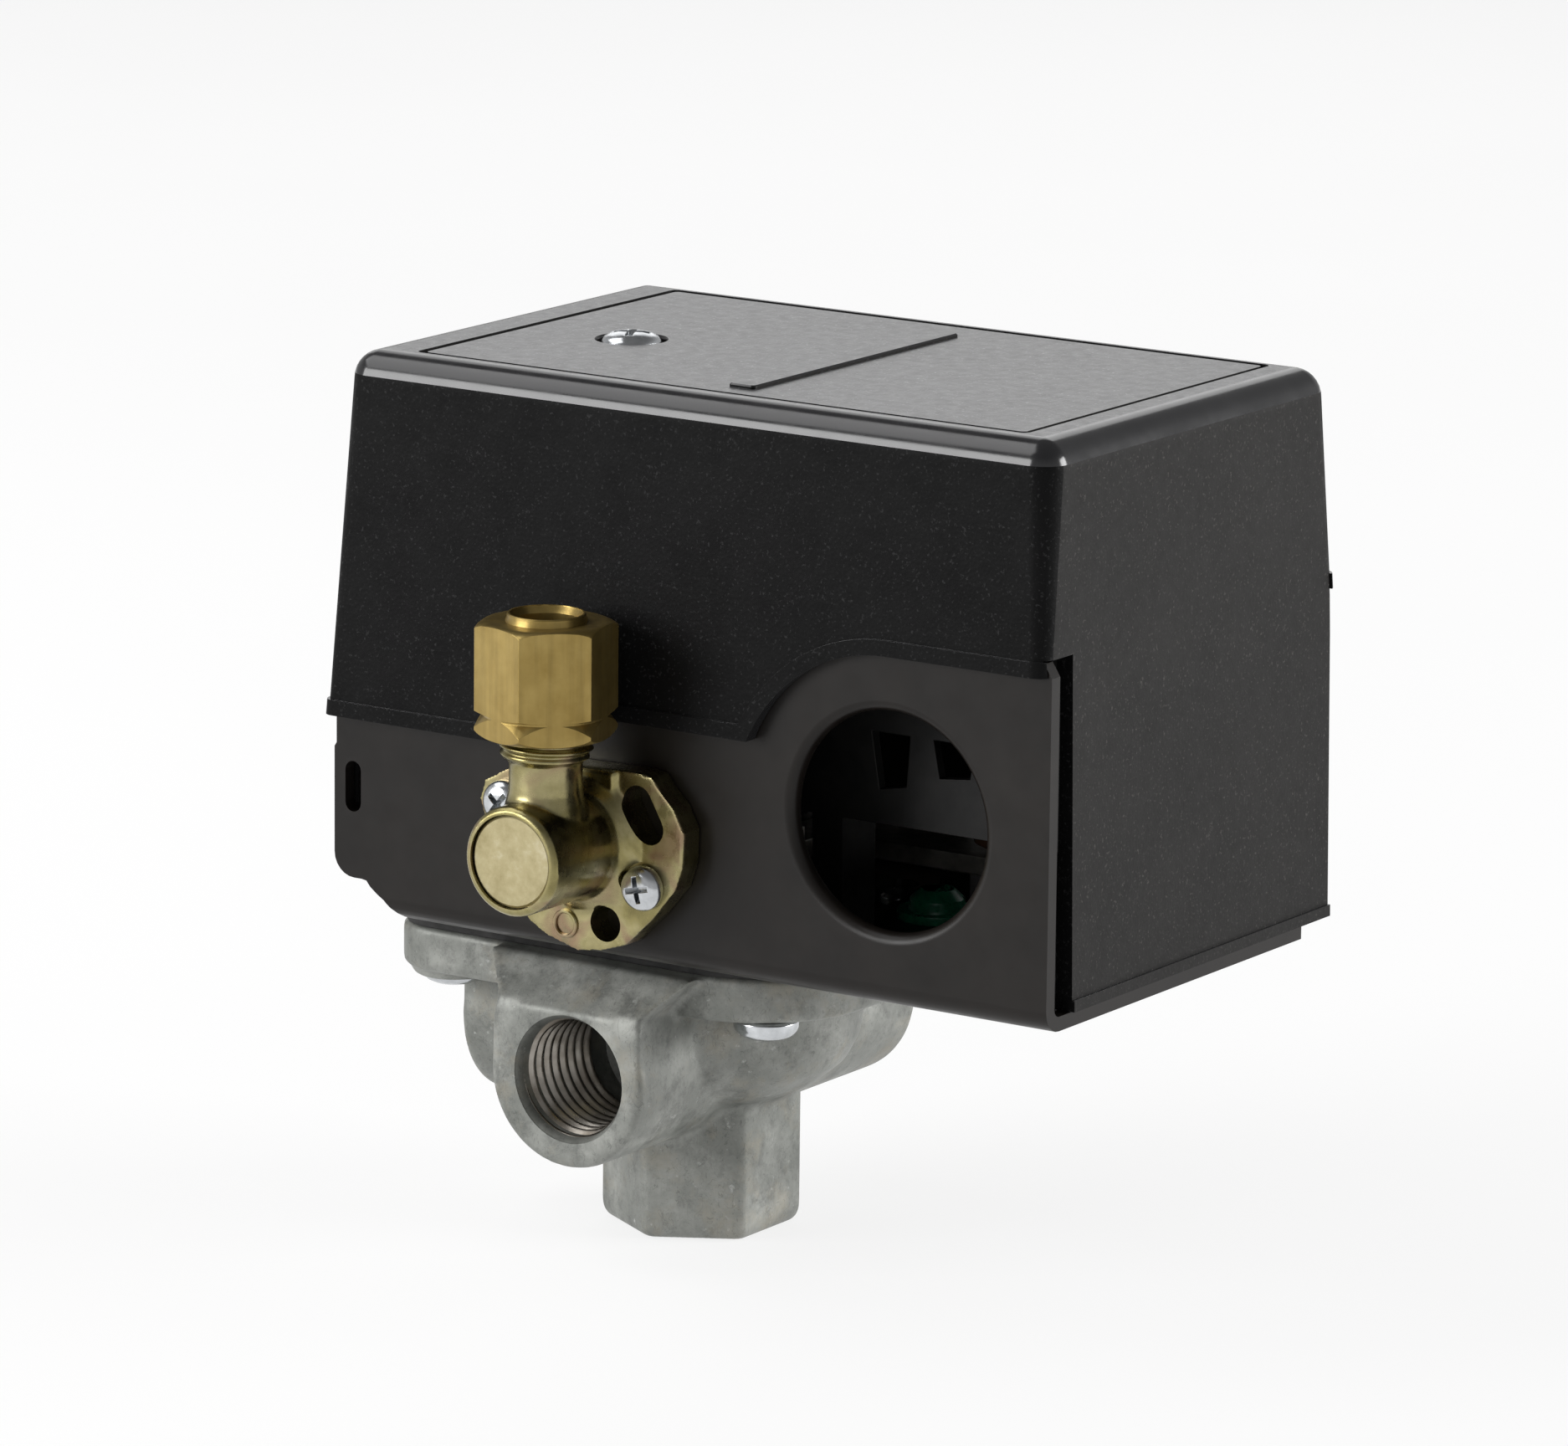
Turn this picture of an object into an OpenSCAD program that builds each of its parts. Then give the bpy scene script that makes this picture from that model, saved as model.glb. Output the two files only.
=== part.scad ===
// Pressure switch: a lever mechanism and contact block on a folded steel base, under a lift-off cover,
// on a casting with four pipe ports, with an unloader valve on the front. Millimetres.
// Origin: centre of the bottom port's mouth. +X runs along the long side towards the wiring end,
// -Y is the side with the unloader valve, and +Z is up.

/* [Casting] */
// Width across the flats of the hexagonal boss
hex_af = 18.4; // [17.8:0.1:19.2]
// Radius of the smooth bore in each pipe port
port_r = 5.9; // [5.6:0.05:6.1]
// Depth of each pipe port
port_depth = 12.5; // [11:0.5:13]
// Height of the side ports' axes
port_z = 20.3; // [19.8:0.1:20.8]
// Diameter of the bosses round the side ports
boss_d = 18.9; // [18:0.1:19.2]
// Distance from the hexagon's axis to the front and left port faces
port_reach = 24.5; // [24:0.1:26]
// Distance from the hexagon's axis to the back port face
back_reach = 26.8; // [25:0.1:27]
// Height of the flange's underside
flange_z = 27; // [26.6:0.1:27.4]
// Thickness of the flange
flange_t = 4.8; // [4.4:0.1:5.2]

/* [Base frame] */
// Length of the steel base
base_len = 87.4; // [86:0.2:88]
// Depth of the steel base over its two side flanges
base_depth = 54.6; // [54.2:0.1:54.8]
// Thickness of the steel sheet
sheet_t = 1.5; // [1.2:0.1:1.6]
// Radius of the wiring hole in each side flange
conduit_r = 11.3; // [10.8:0.05:11.5]
// Height of the wiring holes' axis
conduit_z = 53.6; // [53:0.1:54]

/* [Cover] */
// Height of the cover's top face
cover_top = 93.9; // [93:0.1:96]
// Thickness of the cover's walls
wall = 2; // [1.6:0.1:2.2]
// Radius of the cover's top edges
edge_r = 3; // [2:0.25:4]
// Draft of the long walls, in mm of depth per mm of height
draft_y = 0.067; // [0.05:0.001:0.08]
// Draft of the end walls, in mm of length per mm of height
draft_x = 0.018; // [0.01:0.002:0.03]

/* [Unloader valve] */
// Height of the valve barrel's axis
valve_z = 47.6; // [47.3:0.1:47.8]
// Outer diameter of the valve barrel
barrel_d = 11.3; // [10.8:0.1:11.6]
// Width across the flats of the compression nut
nut_af = 12.7; // [12.4:0.1:13]
// Radius of the tube hole in the compression nut
tube_r = 3.25; // [3.2:0.01:3.3]

/* [Mechanism] */
// Outer diameter of the range spring
spring_d = 15; // [14:0.5:15.5]
// Wire diameter of the range spring
spring_wire = 2; // [1.6:0.1:2.2]
// Number of turns of the range spring
spring_turns = 5.5; // [4.5:0.5:6]
// Diameter of the range screw
range_d = 6; // [5:0.5:6]

/* [Hidden] */
$fn = 48;
eps = 0.01;
gap = 0.05;            // running clearance between a turning or sliding piece and its guide

// Heights of the stack on the casting
flange_top = flange_z + flange_t;
diaphragm_t = 1;
dish_z = flange_top + diaphragm_t;      // underside of the base's pressed dish
base_z = dish_z + 1.9;                  // underside of the base's floor
floor_z = base_z + sheet_t;

// Base, about its own middle
base_x = 15.9;
base_x0 = base_x - base_len / 2;
base_x1 = base_x + base_len / 2;
side_y = base_depth / 2;
inner_y = side_y - sheet_t;
relief_x = -21;                         // the floor's corners stop here at the left
relief_y = 22;
tab_z = base_z + 3.9;                   // underside of the side flanges' left tabs
conduit_x = 40.6;

// Diaphragm and its four screws, about the actuator's axis
act_x = -3.4;
screw_dx = 19.8;
screw_dy = 12.4;
chamber_r = 15;
plate_r = 11;

// Lower edge of the cover's skirt: three levels and an arc round the wiring hole
skirt_left = 56;
skirt_mid = 60.1;
skirt_arc = 17.15;
skirt_step_x = 0;
lap = 1.4;                              // how far the steel reaches up behind the skirt
lap_inset = 0.9;                        // and how far that lap stops short of the steel's ends
rim_h = 1.5;
rim_out = 0.3;

// Cover
cover_half_x = 44;                      // half length at the floor
cover_half_y = 28;                      // half depth at cover_ref
cover_ref = 72.2;
wall_bottom = floor_z + 0.1;
end_front = -22.95;                     // front and back edges of the end walls' lower part
end_back = 26.8;
panel_x = 36.9;
panel_y = 23.2;
panel_cx = 16.7;
groove = 0.5;
bar = [3.2, 38, 0.4];                   // plain raised bar on the top
screw_x = -7.2;
screw_y = -3.6;
cover_head_z = 92.3;                    // underside of the cover screw's head

// Lever, hinged at the left, and what it moves
lever_x = -21;
lever_z = 42.5;
lever_under = 43;
lever_t = 2;
lever_top = lever_under + lever_t;
lever_half = 9.5;
pin_r = 1.6;
stem_x = 37;                            // axis of the contact carrier
spring_x = 7;                           // axis of the range spring
seat_t = 1.2;
spring_z0 = lever_top + seat_t;
spring_z1 = 65.5;
bridge_z = 72;                          // underside of the spring bracket's top
bridge_t = 2;
bracket_y = 19;
bracket_x0 = -13;
bracket_leg = 13;
bracket_x1 = 16;

// Contact block
block = [18.8, 55.2, 15];               // first x, last x, half depth
leg_x = 25.4;                           // axis of the left legs' screws
block_z0 = 60;
block_z1 = 68;
pole_y = 7.5;
tip_dx = 9;
term_dx = 14.5;
strip_t = 1;
tip_h = 1;
contact_z = block_z1 + strip_t + tip_h;

// Unloader valve
valve_x = 5.6;
branch_y = -36.6;
barrel_y = -42.8;
plate_t = 3.1;
plate_y = -side_y - plate_t;
neck_z = valve_z + 9.7;                 // shoulder under the branch's threaded end
branch_z = valve_z + 16.7;              // top of the branch
nut_z0 = valve_z + 11.9;
nut_z1 = valve_z + 23.4;
collar_z = nut_z1 + 1.2;
thread_r = 4.85;                        // outer radius of the branch's threaded end
seat_y = -32.2;                         // front of the valve's seal
valve_screws = [[13.6, 43.8], [-3.6, 50.3]];
trip_y = -19.8;
trip_z = 41;
trip_reach = 8.8;                       // from the trip arm's pin to its contact with the lever
push_y = trip_y - 1;                    // centre of the arm's nose behind the plunger

function arc(cx, cy, r, a0, a1, n = 6) =
    [for (i = [0:n]) let (a = a0 + (a1 - a0) * i / n) [cx + r * cos(a), cy + r * sin(a)]];

// Half depth and half length of the cover's outer face at a height
function half_y(z) = cover_half_y + draft_y * (cover_ref - z);
function half_x(z) = cover_half_x - draft_x * (z - floor_z);

// Points of a round wire wound to a helix, closed by flat ends
function coil_points(r, wire, h, turns, sides, steps) =
    [for (i = [0:turns * steps], j = [0:sides - 1])
        let (t = 360 * i / steps, a = 360 * j / sides, q = r + wire / 2 * cos(a))
        [q * cos(t), q * sin(t), wire / 2 + (h - wire) * i / (turns * steps) + wire / 2 * sin(a)]];

function coil_faces(rings, sides) = concat(
    [[for (j = [0:sides - 1]) j]],
    [for (i = [0:rings - 2], j = [0:sides - 1])
        let (k = (j + 1) % sides)
        [i * sides + j, (i + 1) * sides + j, (i + 1) * sides + k, i * sides + k]],
    [[for (j = [sides - 1:-1:0]) (rings - 1) * sides + j]]);

module coil(r, wire, h, turns, sides = 6, steps = 16) {
    polyhedron(coil_points(r, wire, h, turns, sides, steps), coil_faces(turns * steps + 1, sides));
}

module block_of(x0, x1, y0, y1, z0, z1) {
    translate([x0, y0, z0]) cube([x1 - x0, y1 - y0, z1 - z0]);
}

module rod_z(x, y, z0, z1, r, r2 = undef) {
    translate([x, y, z0]) cylinder(r1 = r, r2 = is_undef(r2) ? r : r2, h = z1 - z0);
}

module rod_y(x, z, y0, y1, r, r2 = undef) {
    translate([x, y0, z]) rotate([-90, 0, 0]) cylinder(r1 = r, r2 = is_undef(r2) ? r : r2, h = y1 - y0);
}

module rod_x(y, z, x0, x1, r) {
    translate([x0, y, z]) rotate([0, 90, 0]) cylinder(r = r, h = x1 - x0);
}

// A flat (x, z) outline made solid from y0 to y1, and a (y, z) outline from x0 to x1
module along_y(y0, y1) {
    translate([0, y1, 0]) rotate([90, 0, 0]) linear_extrude(y1 - y0) children();
}

module along_x(x0, x1) {
    translate([x0, 0, 0]) rotate([90, 0, 90]) linear_extrude(x1 - x0) children();
}

module span(x0, x1, y0, y1) {
    translate([x0, y0]) square([x1 - x0, y1 - y0]);
}

// Cross recess, cut down from the top of a head
module cross_cut(size, depth) {
    for (a = [0, 90]) rotate(a) translate([-size / 2, -size / 7, -depth]) cube([size, size / 3.5, depth + 1]);
}

// Pan-head screw along +Z: head underside at 0, shank below it
module pan_screw(head_r, head_h, shank_r, shank_len) {
    difference() {
        union() {
            cylinder(r1 = head_r, r2 = head_r * 0.95, h = head_h * 0.55);
            translate([0, 0, head_h * 0.55])
                cylinder(r1 = head_r * 0.95, r2 = head_r * 0.6, h = head_h * 0.45);
            translate([0, 0, -shank_len]) cylinder(r = shank_r, h = shank_len + eps);
        }
        translate([0, 0, head_h]) cross_cut(head_r * 1.1, head_h * 0.6);
    }
}

// ---- Casting and diaphragm ----

// Outline of the casting's top flange, with larger corners towards +X
module flange_outline(inset = 0) {
    x0 = -28.2 + inset;
    x1 = 23.5 - inset;
    y1 = 18.3 - inset;
    r0 = 5.5 - inset / 2;
    r1 = 13 - inset;
    span(x0 + r0, x1 - r1, -y1, y1);
    span(x0, x0 + r0 + eps, r0 - y1, y1 - r0);
    span(x1 - r1 - eps, x1, r1 - y1, y1 - r1);
    for (s = [-1, 1]) {
        translate([x0 + r0, s * (y1 - r0)]) circle(r0);
        translate([x1 - r1, s * (y1 - r1)]) circle(r1);
    }
}

module at_screws() {
    for (sx = [-1, 1], sy = [-1, 1]) translate([act_x + sx * screw_dx, sy * screw_dy, 0]) children();
}

// Web from a port boss up to the flange: d outwards from the axis, reaching dist
module port_web(dist, edge) {
    top = flange_top - 0.3;
    along_x(-boss_d / 2 + 0.8, boss_d / 2 - 0.8)
        polygon([[0, port_z], [-dist, port_z], [-dist, port_z + 5], [1.2 - dist, flange_z + 0.6],
            [-edge, top], [0, top]]);
}

// Pipe port cut into a face: bore, countersink at the mouth and a drilling to the centre
module port_cut(dist) {
    rod_z(0, 0, dist - port_depth, dist + 1, port_r);
    rod_z(0, 0, dist - 1.2, dist + eps, port_r, 6.95);
    rod_z(0, 0, 0, dist, 3.4);
}

module side_ports(left) {
    translate([0, 0, port_z]) {
        rotate([90, 0, 0]) port_cut(port_reach);
        rotate([-90, 0, 0]) port_cut(back_reach);
        rotate([0, -90, 0]) port_cut(left);
    }
}

module port_manifold() {
    color("#9aa09a") difference() {
        union() {
            intersection() {
                rotate(30) cylinder(d = hex_af / cos(30), h = flange_z, $fn = 6);
                cylinder(r1 = 9.5, r2 = 9.5 + flange_z, h = flange_z);
            }
            rotate_extrude()
                polygon([[0, 14], [9, 14], [16, 18.5], [18, 22], [18, flange_z + 1], [0, flange_z + 1]]);
            rod_y(0, port_z, -port_reach, back_reach, boss_d / 2);
            rotate(-90) rod_y(0, port_z, -port_reach, 0, boss_d / 2);
            port_web(port_reach, 18.3);
            rotate(180) port_web(back_reach, 18.3);
            rotate(-90) port_web(port_reach, port_reach);
            translate([0, 0, flange_z]) linear_extrude(flange_t) flange_outline();
        }
        rod_z(0, 0, -1, port_depth, port_r);
        rod_z(0, 0, 0, flange_top, 3);
        side_ports(port_reach);
        rod_z(act_x, 0, flange_top - 2.6, flange_top + 1, chamber_r);
        at_screws() {
            rod_z(0, 0, 20, flange_top + 1, 2.15);
            rod_z(0, 0, flange_z - 3, flange_z, 3.7);
        }
    }
}

module manifold_screws() {
    color("#d8dbdc") at_screws() translate([0, 0, flange_z]) rotate([180, 0, 0])
        pan_screw(3.4, 2.2, 2.05, 8.4);
}

module diaphragm() {
    color("#1b1b1b") difference() {
        translate([0, 0, flange_top]) linear_extrude(diaphragm_t) flange_outline(0.3);
        at_screws() rod_z(0, 0, flange_z, base_z, 2.2);
    }
}

module diaphragm_plate() {
    color("#b8bcc0") union() {
        rod_z(act_x, 0, dish_z, dish_z + 2, plate_r);
        rod_z(act_x, 0, dish_z + 2, dish_z + 3, 5.5, 4.5);
    }
}

module push_pin() {
    foot = dish_z + 3;
    dome = 6;
    tip = lever_under - 0.03;
    color("#cfd2d4") intersection() {
        rod_z(act_x, 0, foot, tip, 3);
        translate([act_x, 0, tip - dome]) sphere(dome);
    }
    color("#cfd2d4") rod_z(act_x, 0, foot, tip - 2, 3);
}

// ---- Steel base ----

// What the cover's skirt leaves open on the long sides, grown by g
module skirt_window(g = 0) {
    span(base_x0 - 20, skirt_step_x, 0, skirt_left + g);
    span(skirt_step_x, conduit_x, 0, skirt_mid + g);
    translate([conduit_x, conduit_z]) circle(skirt_arc + g);
    span(conduit_x, base_x1 + 20, 0, conduit_z + skirt_arc + g);
}

// Side flange, seen from the front
module side_outline(x0, x1) {
    corner = 2.5;
    difference() {
        intersection() {
            union() {
                skirt_window();
                intersection() {
                    skirt_window(lap);
                    span(x0 + lap_inset, x1 - lap_inset, 0, cover_top);
                }
            }
            union() {
                span(x0, x1, tab_z + corner, cover_top);
                span(x0 + corner, x1, tab_z, cover_top);
                translate([x0 + corner, tab_z + corner]) circle(corner);
                polygon([[relief_x - 3, tab_z + 1], [relief_x - 2.4, tab_z - 0.4], [relief_x, base_z + 1.6],
                    [relief_x + 1.2, base_z + 0.6], [relief_x + 1.2, base_z], [x1, base_z], [x1, tab_z + 1]]);
            }
        }
        span(-26.4, -24.4, 45.6, 51);
        span(x0 - 1, x0 + 0.27, 52.5, cover_top);
        translate([conduit_x, conduit_z]) circle(conduit_r);
    }
}

// Folded channel: floor, bends and side flanges in one section, seen along X
module channel_section() {
    bend = 2;
    difference() {
        union() {
            span(bend - side_y, side_y - bend, base_z, cover_top);
            span(-side_y, side_y, base_z + bend, cover_top);
            for (s = [-1, 1]) translate([s * (side_y - bend), base_z + bend]) circle(bend);
        }
        span(-inner_y, inner_y, floor_z + 0.5, cover_top + 1);
        span(0.5 - inner_y, inner_y - 0.5, floor_z, cover_top);
    }
}

module base_frame() {
    color("#2b2622") difference() {
        union() {
            intersection() {
                along_x(base_x0, base_x1) channel_section();
                union() {
                    block_of(relief_x, base_x1, -side_y, relief_y, base_z, floor_z + 0.6);
                    block_of(base_x0 + 0.4, base_x1, -relief_y, relief_y, base_z, floor_z);
                    along_y(-side_y, -relief_y) side_outline(base_x0, base_x1);
                    along_y(relief_y, side_y) side_outline(base_x0 + 2.4, base_x1 - 2.4);
                }
            }
            translate([0, 0, dish_z]) linear_extrude(base_z - dish_z + 0.8) flange_outline(2);
        }
        translate([0, 0, dish_z + sheet_t]) linear_extrude(5) flange_outline(3.5);
        rod_z(act_x, 0, dish_z - 1, floor_z, plate_r + 0.4);
        at_screws() rod_z(0, 0, dish_z - 1, floor_z + 1, 2.15);
        rod_y(valve_x, valve_z, -side_y - 1, 0, 3.6);
        for (p = valve_screws) rod_y(p[0], p[1], -side_y - 1, 0, 1.6);
        at_bracket_screws() rod_z(0, 0, base_z - 1, floor_z + 1, 1.55);
        at_block_screws() rod_z(0, 0, base_z - 1, floor_z + 1, 1.8);
        at_lever_rivets() rod_z(0, 0, dish_z - 1, floor_z + 1, 1.25);
        at_trip_feet() rod_z(0, 0, base_z - 1, floor_z + 1, 1.05);
        at_ground() rod_z(0, 0, base_z - 1, floor_z + 1, 2.05);
    }
}

// ---- Lever ----

module at_lever_rivets() {
    for (s = [-1, 1]) translate([lever_x, s * 18.6, 0]) children();
}

// Strip folded to two ears that hold the lever's pin
module lever_bracket() {
    ear_y = 10;
    color("#8f8c84") difference() {
        union() {
            block_of(lever_x - 4, lever_x + 4, -21.5, 21.5, floor_z, floor_z + 1.5);
            for (s = [-1, 1]) {
                y = s * (ear_y + 0.75);
                block_of(lever_x - 4, lever_x + 4, y - 0.75, y + 0.75, floor_z, lever_z);
                rod_y(lever_x, lever_z, y - 0.75, y + 0.75, 4);
            }
        }
        rod_y(lever_x, lever_z, -20, 20, pin_r + 0.01);
        at_lever_rivets() rod_z(0, 0, floor_z - 1, floor_z + 3, 1.25);
    }
}

module lever_rivets() {
    color("#b5b3ac") at_lever_rivets() {
        rod_z(0, 0, base_z, floor_z + 1.5, 1.2);
        rod_z(0, 0, floor_z + 1.5, floor_z + 2.5, 2.2, 1.6);
    }
}

module lever_pin() {
    color("#d0d3d4") union() {
        rod_y(lever_x, lever_z, -12.5, 12.5, pin_r);
        rod_y(lever_x, lever_z, -13.5, -12.5, 2.4);
    }
}

// Channel-shaped lever: web over the push pin, side flanges, a tongue under the contact carrier
// and a tab under the trip arm
module main_lever() {
    end_x = 18;
    color("#a9a79f") difference() {
        union() {
            block_of(lever_x + 4.5, end_x, -lever_half, lever_half, lever_under, lever_top);
            block_of(end_x - eps, stem_x + 2.5, -3.5, 3.5, lever_under, lever_top);
            block_of(valve_x - 2.5, valve_x + 2.5, -13.2, -lever_half + 1, lever_under, lever_top);
            for (s = [-1, 1]) {
                y0 = s > 0 ? lever_half - 1.5 : -lever_half;
                along_y(y0, y0 + 1.5) {
                    translate([lever_x, lever_z]) circle(3.6);
                    polygon([[lever_x, lever_z - 3.6], [lever_x + 4, lever_under], [end_x, lever_under],
                        [end_x, lever_top + 1.5], [end_x - 6, lever_top + 4], [lever_x, lever_z + 3.6]]);
                }
            }
        }
        rod_y(lever_x, lever_z, -20, 20, pin_r + gap);
    }
}

module lower_spring_seat() {
    color("#c9cbc9") union() {
        rod_z(spring_x, 0, lever_top, spring_z0, 6.2);
        rod_z(spring_x, 0, spring_z0, spring_z0 + 2.5, spring_d / 2 - spring_wire - 0.5, 4.2);
    }
}

module range_spring() {
    color("#7d8288") translate([spring_x, 0, spring_z0])
        coil((spring_d - spring_wire) / 2, spring_wire, spring_z1 - spring_z0, spring_turns);
}

module upper_spring_seat() {
    color("#c9cbc9") difference() {
        union() {
            rod_z(spring_x, 0, spring_z1, spring_z1 + 1.8, spring_d / 2 + 0.4);
            rod_z(spring_x, 0, spring_z1 - 2, spring_z1, 4.4, spring_d / 2 - spring_wire - 0.4);
        }
        rod_z(spring_x, 0, spring_z1 + 0.8, spring_z1 + 3, range_d / 2 + gap);
    }
}

// Hexagonal screw that sets the range spring's load
module range_screw() {
    color("#c4c7c9") difference() {
        union() {
            rod_z(spring_x, 0, spring_z1 + 0.85, 79, range_d / 2);
            translate([spring_x, 0, 79]) cylinder(d = 10 / cos(30), h = 4.2, $fn = 6);
        }
        block_of(spring_x - 6, spring_x + 6, -0.6, 0.6, 82, 84);
    }
}

// ---- Bracket over the lever ----

module at_bracket_screws() {
    for (x = [-10.2, -2.8], s = [-1, 1]) translate([x, s * 22.3, 0]) children();
}

module spring_bracket() {
    r = 3;
    y0 = bracket_y;
    top = bridge_z + bridge_t;
    color("#8b8880") difference() {
        union() {
            along_x(bracket_x0, bracket_x0 + bracket_leg) difference() {
                union() {
                    span(-y0, y0, floor_z, top - r);
                    span(r - y0, y0 - r, floor_z, top);
                    for (s = [-1, 1]) translate([s * (y0 - r), top - r]) circle(r);
                    span(-25.3, 25.3, floor_z, floor_z + bridge_t);
                }
                span(bridge_t - y0, y0 - bridge_t, floor_z - 1, bridge_z - 1);
                span(bridge_t - y0 + 1, y0 - bridge_t - 1, floor_z - 1, bridge_z);
            }
            block_of(bracket_x0 + bracket_leg - 1, bracket_x1, -12, 12, bridge_z, top);
        }
        rod_z(spring_x, 0, bridge_z - 1, top + 1, range_d / 2 + gap);
        rod_z(screw_x, screw_y, bridge_z - 1, top + 1, 2);
        at_bracket_screws() rod_z(0, 0, floor_z - 1, floor_z + 4, 1.6);
    }
}

module bracket_screws() {
    color("#cdd0d1") at_bracket_screws() translate([0, 0, floor_z + bridge_t]) pan_screw(2.7, 1.9, 1.5, 3.6);
}

// Hexagonal standoff that takes the cover's screw
module cover_post() {
    foot = bridge_z + bridge_t;
    color("#b9bcbd") difference() {
        union() {
            translate([screw_x, screw_y, foot]) cylinder(d = 7 / cos(30), h = 90 - foot, $fn = 6);
            rod_z(screw_x, screw_y, bridge_z, foot + eps, 1.98);
        }
        rod_z(screw_x, screw_y, 79, 91, 2.05);
        rod_z(screw_x, screw_y, 89.2, 90.01, 2.05, 2.8);
    }
}

// ---- Contacts ----

module at_block_screws() {
    for (s = [-1, 1]) translate([leg_x, s * 12, 0]) children();
    translate([53.2, 0, 0]) children();
}

module at_terminals() {
    for (sx = [-1, 1], s = [-1, 1]) translate([stem_x + sx * term_dx, s * pole_y, 0]) rotate(sx > 0 ? 0 : 180)
        children();
}

// Apron hanging from each long side of the block, with two windows
module barrier_outline() {
    difference() {
        span(block[0], block[1], 50, block_z0 + eps);
        polygon([[30.6, block_z0 - 0.5], [35.2, block_z0 - 0.5], [34.8, 54.2], [31.6, 53.6]]);
        polygon([[38, block_z0 - 0.5], [43, block_z0 - 0.5], [42.4, 56], [38.8, 55.6]]);
    }
}

module contact_block() {
    x0 = block[0];
    x1 = block[1];
    half = block[2];
    leg = 3.8;
    apron = 1.2;
    color("#1d1c1b") difference() {
        union() {
            block_of(x0, x1, -half, half, block_z0, block_z1);
            for (s = [-1, 1]) {
                y = s * 12;
                block_of(leg_x - leg / 2, leg_x + leg / 2, y - 3, y + 3, floor_z, block_z0 + eps);
                side = s * (half - apron / 2);
                block_of(x0, x1, side - apron / 2, side + apron / 2, block_z1 - eps, block_z1 + 8);
                along_y(side - apron / 2, side + apron / 2) barrier_outline();
            }
            block_of(x1 - 4, x1, -4, 4, floor_z, block_z0 + eps);
            for (x = [x0, x1 - 12.4]) block_of(x, x + 12.4, -0.7, 0.7, block_z1 - eps, block_z1 + 8);
        }
        rod_z(stem_x, 0, block_z0 - 1, block_z1 + 1, 3 + gap);
        at_terminals() rod_z(0, 0, block_z1 - 6, block_z1 + 1, 1.55);
        at_block_screws() rod_z(0, 0, floor_z - 1, floor_z + 10, 1.55);
    }
}

// From below, through the floor into the block's legs
module block_screws() {
    color("#cdd0d1") at_block_screws() translate([0, 0, base_z]) rotate([180, 0, 0])
        pan_screw(2.8, 1.8, 1.5, 9);
}

// Brass strips, each from its contact tip out to its terminal
module terminal_strips() {
    color("#c9a24a") at_terminals() difference() {
        block_of(-8, 3.2, -2.8, 2.8, block_z1, block_z1 + strip_t);
        rod_z(0, 0, block_z1 - 1, block_z1 + 3, 1.6);
    }
}

module fixed_tips() {
    color("#dfe2e2") at_terminals() rod_z(tip_dx - term_dx, 0, block_z1 + strip_t, contact_z, 1.9);
}

module terminal_clamps() {
    color("#d4cfa8") at_terminals() difference() {
        block_of(-2.9, 3, -2.8, 2.8, block_z1 + strip_t, block_z1 + strip_t + 1.1);
        rod_z(0, 0, block_z1, block_z1 + 4, 1.6);
    }
}

module terminal_screws() {
    color("#d8dbdc") at_terminals() translate([0, 0, block_z1 + strip_t + 1.1]) pan_screw(2.6, 1.9, 1.5, 7.2);
}

// Carrier: a stem through the block and a cross bar with a window over each pole
module contact_carrier() {
    tip_gap = 0.12;
    window = contact_z + 1.6;
    color("#6e4a2c") difference() {
        union() {
            rod_z(stem_x, 0, lever_top + 1, block_z1 + 0.5, 3);
            rod_z(stem_x, 0, lever_top + tip_gap, lever_top + 1, 1.4, 3);
            block_of(stem_x - 2.6, stem_x + 2.6, -12.5, 12.5, block_z1 + 0.5, contact_z + 9);
        }
        for (y = [-pole_y, pole_y]) {
            block_of(stem_x - 4, stem_x + 4, y - 3.2, y + 3.2, contact_z - 0.6, contact_z + 7);
            rod_z(stem_x, y, window, contact_z + 8, 1.9);
        }
    }
}

module contact_bridges() {
    z = contact_z + tip_h + 0.02;
    reach = tip_dx + 2.2;
    color("#c98f4a") for (y = [-pole_y, pole_y])
        block_of(stem_x - reach, stem_x + reach, y - 2.4, y + 2.4, z, z + 0.8);
}

module moving_tips() {
    color("#dfe2e2") for (sx = [-1, 1], s = [-1, 1])
        rod_z(stem_x + sx * tip_dx, s * pole_y, contact_z + 0.02, contact_z + tip_h + 0.02, 1.9);
}

module contact_springs() {
    z0 = contact_z + tip_h + 0.82;
    color("#8a8f94") for (s = [-1, 1]) translate([stem_x, s * pole_y, z0])
        coil(1.35, 0.5, contact_z + 8 - z0, 5, 6, 12);
}

// Cap screwed over the carrier's springs
module carrier_cap() {
    z = contact_z + 9;
    color("#3a3532") union() {
        block_of(stem_x - 2.6, stem_x + 2.6, -12.5, 12.5, z, z + 1.2);
        for (s = [-1, 1]) rod_z(stem_x, s * 11.6, z + 1.2, z + 1.9, 0.7);
    }
}

// ---- Earth screw and trip arm ----

module at_ground() {
    translate([27.5, 2.5, 0]) children();
}

module ground_screw() {
    color("#1f8a4c") at_ground() union() {
        translate([0, 0, floor_z + 0.9]) pan_screw(3, 2.2, 2, 3.6);
        difference() {
            rod_z(0, 0, floor_z, floor_z + 0.9, 4.2);
            rod_z(0, 0, floor_z - 1, floor_z + 2, 1.9);
        }
    }
}

module at_trip_feet() {
    for (s = [-1, 1]) translate([valve_x + 6, trip_y + s * 1.7, 0]) children();
}

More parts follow.
